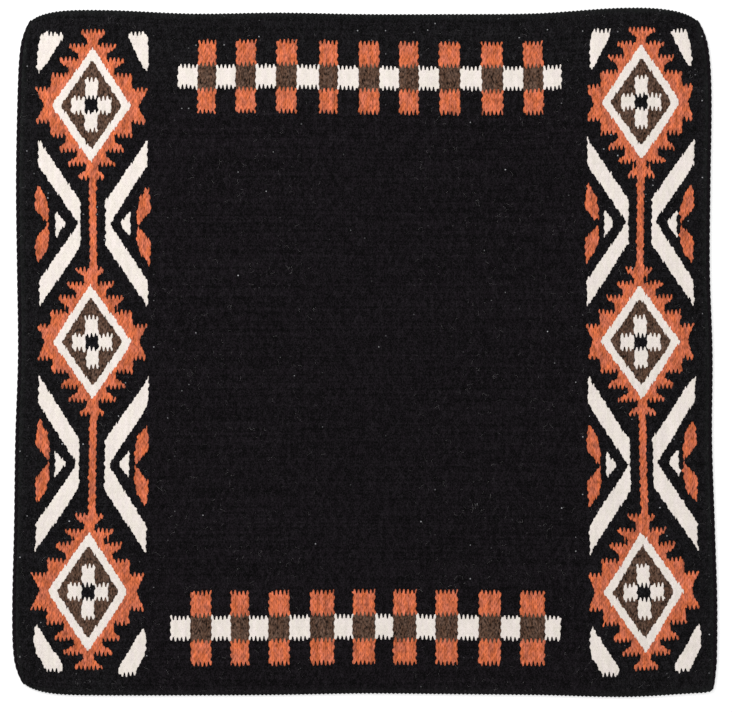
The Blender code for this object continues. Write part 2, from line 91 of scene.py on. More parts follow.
# How far each edge of the used cloth stands out, from bottom to top or from left to right
EDGE_WANDER = 0.0065
LEFT_EDGE_SHARES = (0.60, 0.75, 0.38, 0.14, -0.40, -0.20, 0.00, -0.30, -0.90)
RIGHT_EDGE_SHARES = (0.60, 0.75, 0.24, -0.30, -0.20, -0.74, -0.60, -0.40, -1.00)
TOP_EDGE_SHARES = (0.30, 0.40, -0.30, -0.10, -0.40, -0.40, -0.24, 0.84, 0.60)
BOTTOM_EDGE_SHARES = (-0.20, 0.00, 0.00, -0.10, -0.38, -0.24, -0.06, 0.30, -0.60)
# The places along an end where its highest point is looked for
EDGE_PLACES = 113
CORNER_RADIUS = 0.047
CORNER_SHARES = {(-1, 1): 0.94, (1, 1): 1.06, (-1, -1): 0.98, (1, -1): 0.22}
CORNER_REACH_SHARE = 2.0
CORNER_DEPTH_SHARE = 0.146
CORNER_SOFTNESS = 2.9
# How much the used cloth has stretched along the horse since it left the loom
LENGTH_STRETCH = 1.0034

# How far from the edge the black is lightened: painted sheen on the rounded rim, partly dust
RIM_SHEEN_AND_DUST_REACH = 0.011
# How far the crowns of the outermost floats stand beyond the mean edge
RIM_FULLNESS = 0.0011
# How many passes and warps from the edge the round of the rim is spread over
RIM_PASSES, RIM_WARPS = 4, 3

# The checker bands in the loom plan
CHECK_COLUMNS = 19
CHECK_WIDTH = 0.0263
CHECK_HEIGHT = 0.0321
CHECK_EDGE_MARGIN = 0.0344
CHECK_WANDERS = {"top": 0.0061, "bottom": 0.0010}
# How far each upright line of a band has strayed from an even spacing, from left to right
CHECK_LINE_STRAY = 0.006
CHECK_LINE_SHARES = {
    "top": (0, 0, -0.4, -0.55, -0.55, -0.55, -0.4, 0, -0.25, -0.15,
            0, -0.15, -0.25, -0.25, 0, 0.25, 0.55, 0.5, 0.5, 0.05),
    "bottom": (0, -0.1, 0, -0.25, -0.65, -1, -0.85, -0.9, -0.1, -0.6,
               -0.15, -0.7, -0.15, -0.45, -0.1, 0, 0.4, 0.05, 1, 0),
}
# How far each level line of a band has strayed up, from bottom to top
CHECK_ROW_STRAYS = {"top": (0.0005, 0.0, 0.0, 0.0),
                    "bottom": (0.0028, 0.0032, 0.0042, 0.0042)}
# How much each band rises per metre to the right
CHECK_TILTS = {"top": -0.0060, "bottom": 0.0}

# How near the top of a plate its upper face lies, and how many steps of its outline make a metre
FACE_TOLERANCE = 1e-4
OUTLINE_STEPS = 1e5
# The side of the black square in a cross is a third of the cross.
CROSS_CELLS = 3
# A corner of a motif is sharp if the cosine of its angle is above this. The floats of a sharp
# tip lie between these depths from its point, counted in warps.
TIP_SHARPNESS = 0.64
TIP_DEPTHS = (0.5, 2.4)
# How much of a triangle's outline takes floats, so that the ground fits between it and its lozenges
TRIANGLE_CORE_SHARE = 0.88

# A colour edge starts to count as straight at this cosine of its slant, and does so fully one
# blend above it.
STRAIGHT_COSINE, STRAIGHT_BLEND = 0.93, 0.05
# How much of the bare lattice's raggedness is left on slanted edges
RAGGEDNESS, LOZENGE_RAGGEDNESS = 0.4, 0.8
# The ways in which the two waves run that make a colour edge lumpy, one in each column
LUMP_WAYS = np.array([(0.5, 0.9), (1.0, -0.7)])
# How much of the lumps is lost on level edges, and kept inside a motif and on a triangle
LUMP_LEVEL_LOSS, LUMP_INNER_SHARE, LUMP_TRIANGLE_SHARE = 0.5, 0.4, 0.4
# How far an edge may be drawn, in cells, and how much teeth differ from each other
DRAW_LIMIT = 0.9
TOOTH_SPREAD = 0.25
# The least weight of an edge that runs the other way when a tooth's aim is worked out
OTHER_WAY_WEIGHT = 0.05
# How often the cloth beside a drawn edge is eased. A triangle is crowded below the least area,
# in cells. Its shift is then cut to the share, up to that many times.
EASE_ROUNDS, RELAX_ROUNDS, RELAX_SHARE, LEAST_TRIANGLE = 8, 30, 0.8, 0.12
# Where the side of a tooth bows out, from its tip to its middle, across and along, and how much
# that changes across and along on an upright edge, and along on a level one
BOW_ACROSS, BOW_ALONG = 0.60, 0.30
BOW_UPRIGHT, BOW_LEVEL = (-0.22, 0.25), -0.14

# The part of a piece's picture map that each face takes, along its long and its short side
MAP_LONG, MAP_SHORT, MAP_MARGIN, MAP_HALF = 0.98, 0.48, 0.01, 0.5

QUARTER_TURN = math.pi / 2
SLIT_SLOPES = (1.6, 0.7)
MERGE_DISTANCE = 0.00002
# Edges of the cloth that turn by more than this angle stay sharp.
SHARP_FOLD = 1.1
STRAND_SIDES = 8
FIBRE_POINTS, FIBRE_SIDES = 6, 3
FIBRE_SIZES = (0.4, 1.2)
# How far loose fibres curl, and how many curls there are to a metre
CURL_REACH, CURLS = (0.012, 0.012, 0.0008), 170.0
# Fibres stand only on faces whose upward share is above this.
FACING_UP = 0.7
# How far inside the cloth's box the loose fibres stay, and how far below and above its face
NAP_INSET, NAP_DEPTH, NAP_HEIGHT = 0.006, 0.0002, 0.0003
NAP_SEEDS = {"left": 5, "right": 9}
EDGE_SEED = 7

CORD_POINTS = 221
CORD_TAPER_POWER, CORD_THIN_SHARE = 0.7, 0.25

# How much each wool's brightness varies: from float to float (tone), along a pass (column), along
# a warp (row), with its fibres, in flecks of a fineness (grain), long if upright is below 1, and
# in slanted strands. Painted shade in the slits between floats is this dark (slit_shade), and the
# slits end this high up a float (crown).
WOOL_LOOKS = {
    "black": dict(
        tone=0.80, column=0.35, row=1.15, fibre=0.736, fleck=6.0, grain=760.0, upright=0.75,
        strand=0.5, slit_shade=0.60, crown=0.55, sheen=0.01, second=(0.0074, 0.0060, 0.0075)),
    "cream": dict(
        tone=0.07, column=0.144, row=0.0, fibre=0.096, fleck=0.10, grain=520.0, upright=0.5,
        strand=0.12, slit_shade=0.09, crown=0.55, sheen=0.05, second=(0.925, 0.835, 0.785)),
    "terracotta": dict(
        tone=0.38, column=0.768, row=0.0, fibre=0.512, fleck=0.90, grain=520.0, upright=0.5,
        strand=1.4, slit_shade=0.46, crown=0.80, sheen=0.04, second=(0.665, 0.176, 0.094)),
    "brown": dict(
        tone=0.48, column=0.576, row=0.0, fibre=0.384, fleck=4.2, grain=520.0, upright=0.5,
        strand=1.1, slit_shade=0.14, crown=0.55, sheen=0.03, second=(0.098, 0.058, 0.041)),
}
CLOUD_SHARE = 0.10
LEAST_LEVEL = 0.08
# How fine each pattern is, in lumps to a metre
FIBRE_GRAIN, CORD_GRAIN, STRAND_GRAIN, HEATHER_GRAIN = 1300.0, 900.0, 640.0, 170.0
WOBBLE_GRAIN, MOTTLE_GRAIN, SHEEN_AND_DUST_GRAIN, CLOUD_GRAIN = 120.0, 60.0, 55.0, 14.0
# How many tones there are to a pass and to a warp, in the column and in the row pattern
COLUMN_PACE, ROW_PACE = (0.5, 0.07), (0.008, 1.25)
# How far the slits stray, in passes and in warps, and how far up a float their painted shade stays
# darkest
SEAM_WOBBLE, SLIT_SHADE_FLOOR = (0.8, 0.5), 0.05
HEATHER_BLEND = 0.14
STRAND_SLANT, STRAND_STRETCH = 0.35, 0.2
WOOL_ROUGHNESS, FIBRE_ROUGHNESS = 0.95, 0.9
WOOL_SHINE, FIBRE_SHINE = 0.08, 0.1
WOOL_SHEEN_ROUGHNESS, CORD_SHEEN = 0.6, 0.03
BUMP_STRENGTH, BUMP_HEIGHT = 0.6, 0.0004
# The lighter black at the rim: painted sheen, partly dust
SHEEN_AND_DUST = (0.0180, 0.0180, 0.0185, 1.0)
# Half the width and half the height of the unfaded middle of the ground, and the faded tint
FADE_X, FADE_Y = 0.30, 0.33
UNFADED, FADED = (1.0, 1.0, 1.0, 1.0), (1.06, 1.22, 1.10, 1.0)
# Pale specks: how many cells to a metre, how few of them hold one, how wide it is, its colour
SPECK_CELLS, SPECK_RARITY, SPECK_FADED_GAIN = 110.0, 0.985, 0.035
SPECK_CORE, SPECK_EDGE, SPECK_LEAST = 0.0002, 0.0011, 0.1
SPECK = (0.55, 0.55, 0.57, 1.0)
DARK_FIBRE, PALE_FIBRE = (0.020, 0.019, 0.020, 1.0), (0.30, 0.29, 0.29, 1.0)

FLOOR_REACH, FLOOR_DROP = 6, 0.0002
FLOOR_GLOW, FLOOR_GREY = 0.45, (0.80, 0.80, 0.80, 1.0)
WHITE = (1.0, 1.0, 1.0, 1.0)
LAMP_PLACE, LAMP_WIDTH = (-1.3, 1.5, 2.0), 1.6
SENSOR_WIDTH = 36.0


def amount(name, description, default, least=0.0, **more):
    """A setting that is a number."""
    return FloatProperty(name=name, description=description, default=default, min=least, **more)


# A setting that is a length
size = functools.partial(amount, unit="LENGTH")


def count(name, description, default, least, most=1000):
    """A setting that is a whole number."""
    return IntProperty(name=name, description=description, default=default, min=least, max=most)


def dye(name, description, default):
    """A setting that is the colour of a wool."""
    return FloatVectorProperty(
        name=name, description=description, default=default, min=0.0, max=1.0, subtype="COLOR")


class BlanketCloth(bpy.types.PropertyGroup):
    """The cloth as it is set up on the loom."""

    width: size("Width", "Width of the cloth across the horse, between its mean edges", 0.900, 0.3)
    length: size("Length", "Length of the cloth along the horse's back", 0.880, 0.3)
    passes: count("Weft passes", "How many weft passes lie side by side across the width", 342, 40)
    warps: count("Warps", "How many warp yarns lie along the length", 192, 40)
    cord_passes: count("Cord passes", "How many passes at each end lie under the end cord", 1, 1)
    crease_passes: count(
        "Crease passes", "How many passes on each side belong to the crease strip", 20, 4)
    relief: size("Float relief", "How far the ends of a float sink below its crown", 0.0013)
    tooth_gains: FloatVectorProperty(
        name="Tooth gains", description="How far colour edges jut out along and across the warps, "
        "against bare lattice steps", size=2, default=(0.45, 1.25), min=0.0, max=2.0)
    scallop: size("Scallop", "How far each float bulges over a slanted colour edge", 0.0004)
    unevenness: size("Unevenness", "How unevenly the colour edges have been beaten up", 0.0004)
    lump_height: size(
        "Lump height", "How far colour edges swell and draw in along their length", 0.0013)
    lump_length: size("Lump length", "Length of a swelling of a colour edge", 0.0100, 0.001)
    fullness: amount("Float fullness", "How round a float is: peaked above 1, full below 1",
                     0.75, 0.2, max=2.0, subtype="FACTOR")
    bend_reach: size(
        "Bend reach", "Half the width of cloth that turns where the blanket folds", 0.0059, 0.001)


class BlanketCord(bpy.types.PropertyGroup):
    """The cords that close the two ends of the warp."""

    strands: count("Strands", "How many strands are twisted into each end cord", 3, 2, 6)
    strand_radius: size("Strand radius", "Radius of one strand of an end cord", 0.00165, 0.0002)
    lay_length: size(
        "Lay length", "Length of cord in which a strand goes round once", 0.027, 0.004)
    inset: size("Inset", "How far the middle of a cord lies inside the edge of the cloth", 0.0017)
    taper_length: size(
        "Taper length", "Length in which a cord thins out towards a corner", 0.040, 0.001)


class BlanketWools(bpy.types.PropertyGroup):
    """The colours of the dyed and undyed wools."""

    black: dye("Black wool", "Colour of the ground", (0.0055, 0.0041, 0.0055))
    cream: dye("Cream wool", "Colour of the undyed wool", (0.900, 0.825, 0.745))
    terracotta: dye("Terracotta wool", "Colour of the starbursts", (0.700, 0.163, 0.061))
    brown: dye("Brown wool", "Colour of the heathered cores", (0.085, 0.0445, 0.028))


class BlanketNap(bpy.types.PropertyGroup):
    """Loose fibres that stand out of the cloth."""

    density: amount("Fibres per square metre", "How many loose fibres lie on the ground", 4200.0)
    length: size("Fibre length", "Length of a loose fibre", 0.0055, 0.001)
    radius: size("Fibre radius", "Radius of a loose fibre", 0.00007, 0.00001)


class BlanketStage(bpy.types.PropertyGroup):
    """The pale studio round the blanket."""

    frame_width: size("Frame width", "Width of floor that the picture takes in", 0.9459, 0.1)
    aim_x: size("Aim X", "Where the camera looks, across the blanket", 0.0016, -1.0)
    aim_y: size("Aim Y", "Where the camera looks, along the blanket", -0.0047, -1.0)
    lens: amount("Lens", "Focal length in millimetres", 110.0, 10.0)
    lamp_power: amount("Lamp power", "Power of the large soft lamp in watts", 34.0, unit="POWER")
    sky: amount("Sky", "Strength of the even light from all round", 0.69)


class Wire:
    """A node's output that can be used in a Python sum, which adds its Math nodes."""

    def __init__(self, nodes, socket):
        self.nodes, self.socket = nodes, socket

    def _math(self, operation, *others):
        return self.nodes.add("ShaderNodeMath", {"operation": operation},
                              dict(enumerate((self, *others))))

    __add__ = __radd__ = functools.partialmethod(_math, "ADD")
    __sub__ = functools.partialmethod(_math, "SUBTRACT")
    __mul__ = __rmul__ = functools.partialmethod(_math, "MULTIPLY")
    __truediv__ = functools.partialmethod(_math, "DIVIDE")
    __pow__ = functools.partialmethod(_math, "POWER")
    __abs__ = functools.partialmethod(_math, "ABSOLUTE")
    larger = functools.partialmethod(_math, "MAXIMUM")
    smaller = functools.partialmethod(_math, "MINIMUM")
    over = functools.partialmethod(_math, "GREATER_THAN")
    sine = functools.partialmethod(_math, "SINE")
    cosine = functools.partialmethod(_math, "COSINE")

    def __rsub__(self, other):
        return self.nodes.add("ShaderNodeMath", {"operation": "SUBTRACT"}, {0: other, 1: self})

    def smooth(self, low, high):
        """0 below low and 1 above high, with a soft step between."""
        return self.nodes.add(
            "ShaderNodeMapRange", {"interpolation_type": "SMOOTHSTEP"},
            {"Value": self, "From Min": low, "From Max": high})


class Nodes:
    """Adds nodes to a tree and links them."""

    def __init__(self, tree):
        self.tree = tree

    def fill(self, node, values):
        """Gives a node's sockets their values or links."""
        for key, value in values.items():
            for one in value if isinstance(value, list) else [value]:
                if isinstance(one, Wire):
                    self.tree.links.new(one.socket, node.inputs[key])
                else:
                    node.inputs[key].default_value = one

    def add(self, kind, settings=None, values=None, out=0):
        """A new node of this kind: first its settings, then the values or links of its sockets."""
        node = self.tree.nodes.new(kind)
        for name, value in (settings or {}).items():
            setattr(node, name, value)
        self.fill(node, values or {})
        return Wire(self, node.outputs[out])

    def other(self, wire, out):
        """Another output of the node that a wire comes from."""
        return Wire(self, wire.socket.node.outputs[out])

    def scaled(self, vector, amount):
        return self.add("ShaderNodeVectorMath", {"operation": "SCALE"},
                        {"Vector": vector, "Scale": amount})

    def vector(self, operation, a, b):
        return self.add("ShaderNodeVectorMath", {"operation": operation}, {0: a, 1: b})

    def split(self, vector):
        x = self.add("ShaderNodeSeparateXYZ", None, {0: vector})
        return x, self.other(x, 1), self.other(x, 2)

    def joined(self, x, y, z=0.0):
        return self.add("ShaderNodeCombineXYZ", None, {0: x, 1: y, 2: z})

    def attribute(self, name, kind="FLOAT_VECTOR"):
        """An attribute in a geometry tree."""
        return self.add("GeometryNodeInputNamedAttribute", {"data_type": kind}, {"Name": name})

    def stored(self, geometry, name, value, kind="FLOAT_VECTOR", domain="POINT"):
        return self.add("GeometryNodeStoreNamedAttribute", {"data_type": kind, "domain": domain},
                        {"Geometry": geometry, "Name": name, "Value": value})

    def moved(self, geometry, **values):
        return self.add("GeometryNodeSetPosition", None, {"Geometry": geometry, **values})

    def read(self, name, out="Fac"):
        """An attribute in a material."""
        return self.add("ShaderNodeAttribute", {"attribute_name": name}, out=out)

    def noise(self, vector, scale=1.0, detail=2.0):
        """Soft noise that varies round 0."""
        return self.add("ShaderNodeTexNoise", None,
                        {"Vector": vector, "Scale": scale, "Detail": detail}) - 0.5

    def mixed(self, share, first, second):
        return self.add("ShaderNodeMix", {"data_type": "RGBA"},
                        {"Factor": share, 6: first, 7: second}, out=2)


def float_height(across, along):
    """1 at the crown of each weft float and 0 where four floats meet, from lattice coordinates."""
    across, along = across * QUARTER_TURN, along * QUARTER_TURN
    even = abs(across.cosine() * along.cosine())
    return even.larger(abs(across.sine() * along.sine()))


def slit_depth(across, along):
    """0 in the narrow slits where neighbouring floats part, from lattice coordinates."""
    across, along = across * QUARTER_TURN, along * QUARTER_TURN
    steep, flat = SLIT_SLOPES
    first = abs(across.cosine() * steep).larger(abs(along.sine() * flat))
    return first.smaller(abs(across.sine() * steep).larger(abs(along.cosine() * flat)))


def new_tree(name, *inputs):
    """The nodes of a geometry tree with these named inputs, and its inputs by name."""
    tree = bpy.data.node_groups.new(name, "GeometryNodeTree")
    for label, kind, *default in (("Geometry", "Geometry"), *inputs, ("Material", "Material")):
        socket = tree.interface.new_socket(name=label, in_out="INPUT",
                                           socket_type="NodeSocket" + kind)
        if default:
            socket.default_value = default[0]
    tree.interface.new_socket(name="Geometry", in_out="OUTPUT", socket_type="NodeSocketGeometry")
    nodes = Nodes(tree)
    entry = tree.nodes.new("NodeGroupInput")
    return nodes, {socket.name: Wire(nodes, socket) for socket in entry.outputs if socket.name}


def closed_tree(nodes, geometry, given):
    """The tree, ended with real geometry that wears its material."""
    real = nodes.add("GeometryNodeRealizeInstances", None, {"Geometry": geometry})
    worn = nodes.add("GeometryNodeSetMaterial", None,
                     {"Geometry": real, "Material": given["Material"]})
    nodes.fill(nodes.tree.nodes.new("NodeGroupOutput"), {0: worn})
    return nodes.tree


@functools.cache
def weave_tree():
    """Turns one colour area's flat sheet of lattice cells into closed cloth with every float."""
    nodes, given = new_tree(
        "Woven Wool", ("Thickness", "Float", 0.0065), ("Relief", "Float", 0.0013),
        ("Fullness", "Float", 0.75), ("Seed", "Int", 3), ("Low Corner", "Vector"),
        ("Map Scale", "Vector"), ("Underside Shift", "Vector"))
    across, along, _ = nodes.split(nodes.attribute("loom"))
    sunk = (1 - float_height(across, along) ** given["Fullness"]) * given["Relief"]
    rise = nodes.joined(0.0, 0.0, nodes.attribute("rise", "FLOAT"))
    above = nodes.vector("SUBTRACT", rise, nodes.scaled(nodes.attribute("lean"), sunk))
    below = nodes.vector("MULTIPLY", above, (1.0, 1.0, -1.0))
    place = nodes.add("GeometryNodeInputPosition")
    middle = nodes.vector("ADD", place, nodes.joined(0.0, 0.0, given["Thickness"] * 0.5))
    sheet = nodes.stored(given["Geometry"], "under", nodes.vector("ADD", middle, below))
    tone = nodes.add("FunctionNodeRandomValue", {"data_type": "FLOAT"},
                     {"ID": nodes.attribute("float_index", "INT"), "Seed": given["Seed"]}, out=1)
    sheet = nodes.stored(sheet, "tone", tone, "FLOAT", "FACE")
    on_map = nodes.vector("MULTIPLY", nodes.vector("SUBTRACT", place, given["Low Corner"]),
                          given["Map Scale"])
    under_map = nodes.vector("ADD", on_map, given["Underside Shift"])
    upper = nodes.stored(sheet, "OFBake", on_map, "FLOAT2", "CORNER")
    lower = nodes.stored(sheet, "OFBake", under_map, "FLOAT2", "CORNER")
    under = nodes.attribute("under")
    upper = nodes.moved(upper, Position=nodes.vector("ADD", middle, above))
    lower = nodes.add("GeometryNodeFlipFaces", None, {"Mesh": nodes.moved(lower, Position=under)})
    border = nodes.add("FunctionNodeCompare", {"data_type": "INT", "operation": "EQUAL"},
                       {2: nodes.add("GeometryNodeInputMeshEdgeNeighbors"), 3: 1})
    walled = nodes.add("GeometryNodeExtrudeMesh", {"mode": "EDGES"},
                       {"Mesh": upper, "Selection": border, "Offset Scale": 0.0})
    walled = nodes.moved(walled, Selection=nodes.other(walled, "Top"), Position=under)
    whole = nodes.add("GeometryNodeJoinGeometry", None, {"Geometry": [walled, lower]})
    whole = nodes.add("GeometryNodeMergeByDistance", None,
                      {"Geometry": whole, "Distance": MERGE_DISTANCE})
    for name in ("under", "lean", "rise", "float_index"):
        whole = nodes.add("GeometryNodeRemoveAttribute", None, {"Geometry": whole, "Name": name})
    fold = nodes.add("GeometryNodeInputMeshEdgeAngle").over(SHARP_FOLD)
    whole = nodes.add("GeometryNodeSetShadeSmooth", {"domain": "EDGE"},
                      {"Geometry": whole, "Selection": fold, "Shade Smooth": False})
    return closed_tree(nodes, whole, given)


def tube(nodes, curve, sides, radius):
    """A closed tube of this radius along each curve."""
    ring = nodes.add("GeometryNodeCurvePrimitiveCircle", None,
                     {"Resolution": sides, "Radius": radius})
    return nodes.add("GeometryNodeCurveToMesh", None,
                     {"Curve": curve, "Profile Curve": ring, "Fill Caps": True})


@functools.cache
def cord_tree():
    """Twists strands round a path into a cord."""
    nodes, given = new_tree(
        "Twisted Cord", ("Strands", "Int", 3), ("Strand Radius", "Float", 0.0015),
        ("Cord Radius", "Float", 0.00325), ("Lay Length", "Float", 0.027),
        ("Step", "Float", 0.0020))
    taper = nodes.attribute("taper", "FLOAT")
    path = nodes.add("GeometryNodeMeshToCurve", None, {"Mesh": given["Geometry"]})
    path = nodes.add("GeometryNodeResampleCurve", {"mode": "LENGTH"},
                     {"Curve": path, "Length": given["Step"]})
    path = nodes.add("GeometryNodeSetCurveNormal", {"mode": "Z_UP"}, {"Curve": path})
    copies = nodes.add("GeometryNodeDuplicateElements", {"domain": "SPLINE"},
                       {"Geometry": path, "Amount": given["Strands"]})
    strand = nodes.other(copies, "Duplicate Index")
    travelled = nodes.add("GeometryNodeSplineParameter", out=1)
    copies = nodes.stored(copies, "strand", strand, "INT", "CURVE")
    number = nodes.attribute("strand", "INT")
    turn = (travelled / given["Lay Length"] + number / given["Strands"]) * math.tau
    normal = nodes.add("GeometryNodeInputNormal")
    side = nodes.vector("CROSS_PRODUCT", nodes.add("GeometryNodeInputTangent"), normal)
    offset = nodes.vector(
        "ADD", nodes.scaled(normal, turn.cosine()), nodes.scaled(side, turn.sine()))
    offset = nodes.scaled(offset, (given["Cord Radius"] - given["Strand Radius"]) * taper)
    copies = nodes.stored(copies, "loom", nodes.joined(number, travelled / given["Lay Length"]))
    copies = nodes.moved(copies, Offset=offset)
    copies = nodes.add("GeometryNodeSetCurveRadius", None, {"Curve": copies, "Radius": taper})
    cord = nodes.add("GeometryNodeSetShadeSmooth", {"domain": "FACE"}, {
        "Geometry": tube(nodes, copies, STRAND_SIDES, given["Strand Radius"]),
        "Shade Smooth": True})
    return closed_tree(nodes, cord, given)


@functools.cache
def nap_tree():
    """Scatters loose curled fibres over a woven area."""
    nodes, given = new_tree(
        "Loose Fibres", ("Density", "Float", 2600.0), ("Fibre Length", "Float", 0.009),
        ("Fibre Radius", "Float", 0.00007), ("Low Limit", "Vector"), ("High Limit", "Vector"),
        ("Seed", "Int", 5))
    _, _, facing = nodes.split(nodes.add("GeometryNodeInputNormal"))
    spots = nodes.add("GeometryNodeDistributePointsOnFaces", {"distribute_method": "RANDOM"}, {
        "Mesh": given["Geometry"], "Selection": facing.over(FACING_UP),
        "Density": given["Density"], "Seed": given["Seed"]})
    lying = nodes.add("FunctionNodeRandomValue", {"data_type": "FLOAT_VECTOR"},
                      {"Min": (-1.0, -1.0, -0.03), "Max": (1.0, 1.0, 0.05), "Seed": given["Seed"]})
    turned = nodes.add("FunctionNodeAlignRotationToVector", {"axis": "X"}, {"Vector": lying})
    line = nodes.add("GeometryNodeCurvePrimitiveLine", None,
                     {"End": nodes.joined(given["Fibre Length"], 0.0)})
    line = nodes.add("GeometryNodeResampleCurve", {"mode": "COUNT"},
                     {"Curve": line, "Count": FIBRE_POINTS})
    share = nodes.add("FunctionNodeRandomValue", {"data_type": "FLOAT"}, {
        2: FIBRE_SIZES[0], 3: FIBRE_SIZES[1], "Seed": given["Seed"] + 1}, out=1)
    hairs = nodes.add("GeometryNodeInstanceOnPoints", None,
                      {"Points": spots, "Instance": line, "Rotation": turned, "Scale": share})
    hairs = nodes.add("GeometryNodeRealizeInstances", None, {"Geometry": hairs})
    curl = nodes.add("ShaderNodeTexNoise", {"noise_dimensions": "3D"},
                     {"Vector": nodes.add("GeometryNodeInputPosition"), "Scale": CURLS,
                      "Detail": 1.0}, out="Color")
    curl = nodes.vector("MULTIPLY", nodes.vector("SUBTRACT", curl, (0.5, 0.5, 0.5)), CURL_REACH)
    hairs = nodes.moved(hairs, Offset=curl)
    place = nodes.vector("MAXIMUM", nodes.add("GeometryNodeInputPosition"), given["Low Limit"])
    hairs = nodes.moved(hairs, Position=nodes.vector("MINIMUM", place, given["High Limit"]))
    return closed_tree(nodes, tube(nodes, hairs, FIBRE_SIDES, given["Fibre Radius"]), given)


def grown(name, mesh, tree, inputs, material):
    """A plain mesh object from a tree run on a base mesh."""
    base = bpy.data.objects.new(name + "_base", mesh)
    bpy.context.scene.collection.objects.link(base)
    modifier = base.modifiers.new("Grow", "NODES")
    modifier.node_group = tree
    inputs = {**inputs, "Material": material}
    for item in tree.interface.items_tree:
        if item.in_out == "INPUT" and item.name in inputs:
            modifier[item.identifier] = inputs[item.name]
    graph = bpy.context.evaluated_depsgraph_get()
    made = bpy.data.meshes.new_from_object(base.evaluated_get(graph), depsgraph=graph)
    base.modifiers.remove(modifier)
    bpy.data.objects.remove(base, do_unlink=True)
    made.name = name
    piece = bpy.data.objects.new(name, made)
    bpy.context.scene.collection.objects.link(piece)
    return piece


def mesh_points(mesh):
    """The places of a mesh's points, one in each row."""
    points = np.empty(len(mesh.vertices) * 3, np.float32)
    mesh.vertices.foreach_get("co", points)
    return points.reshape(-1, 3)


def write_attribute(mesh, name, values, kind="FLOAT", domain="POINT"):
    """Stores a value or a vector for each point or face of a mesh."""
    layer = mesh.attributes.new(name, kind, domain)
    layer.data.foreach_set("vector" if kind == "FLOAT_VECTOR" else "value",
                           values.astype(np.int32 if kind == "INT" else np.float32).ravel())


def through(shares, place):
    """The smooth curve through evenly spaced shares, at places from -1 to 1."""
    shares = np.array(shares)
    spans = len(shares) - 1
    at = np.clip((place + 1) / 2, 0.0, 1.0) * spans
    first = np.minimum(at.astype(int), spans - 1)
    t = at - first
    a, b, c, d = (shares[np.clip(first + k, 0, spans)] for k in (-1, 0, 1, 2))
    return 0.5 * (2 * b + (c - a) * t + (2 * a - 5 * b + 4 * c - d) * t ** 2
                  + (3 * b - a - 3 * c + d) * t ** 3)


def rounded(u, v, half_width, half_length):
    """Points of the square loom plan, drawn in near its corners."""
    made_u, made_v = u.copy(), v.copy()
    for (side, end), share in CORNER_SHARES.items():
        zone = CORNER_REACH_SHARE * CORNER_RADIUS * share
        s = (u * side - half_width + zone) / zone
        t = (v * end - half_length + zone) / zone
        near = (s > 0) & (t > 0)
        drawn_in = CORNER_DEPTH_SHARE * (s[near] * t[near]) ** CORNER_SOFTNESS
        made_u[near] -= side * zone * s[near] * drawn_in
        made_v[near] -= end * zone * t[near] * drawn_in
    return made_u, made_v


def wandered(u, v, half_width, half_length):
    """Points of the loom plan once the edges of the cloth have strayed."""
    u, v = rounded(u, v, half_width, half_length)
    across, up = u / half_width, v / half_length
    side = np.where(u > 0, through(RIGHT_EDGE_SHARES, up), through(LEFT_EDGE_SHARES, up))
    end = np.where(v > 0, through(TOP_EDGE_SHARES, across), through(BOTTOM_EDGE_SHARES, across))
    return (u * (1 + EDGE_WANDER * side / half_width), v * (1 + EDGE_WANDER * end / half_length))


def laid(u, v, cloth):
    """Where points of the loom plan lie in the relaxed cloth."""
    half = cloth.width / 2, cloth.length / 2
    x, y = wandered(u, v, *half)
    places = np.linspace(-half[0], half[0], EDGE_PLACES)
    top = wandered(places, np.full(EDGE_PLACES, half[1]), *half)[1].max()
    bottom = wandered(places, np.full(EDGE_PLACES, -half[1]), *half)[1].min()
    return x, (y - (top + bottom) / 2) * LENGTH_STRETCH


def turned_under(inset, zone, radius):
    """How far in a point lies once the cloth's rim is rounded, and how far it has turned."""
    arc = QUARTER_TURN * radius
    run = np.clip(inset, 0, zone) * (zone - radius + arc) / zone
    turn = np.clip(run / radius, 0, QUARTER_TURN)
    new_inset = np.where(run < arc, radius * (1 - np.cos(turn)), radius + run - arc)
    return np.where(inset < zone, new_inset, inset) - RIM_FULLNESS * np.cos(turn), turn


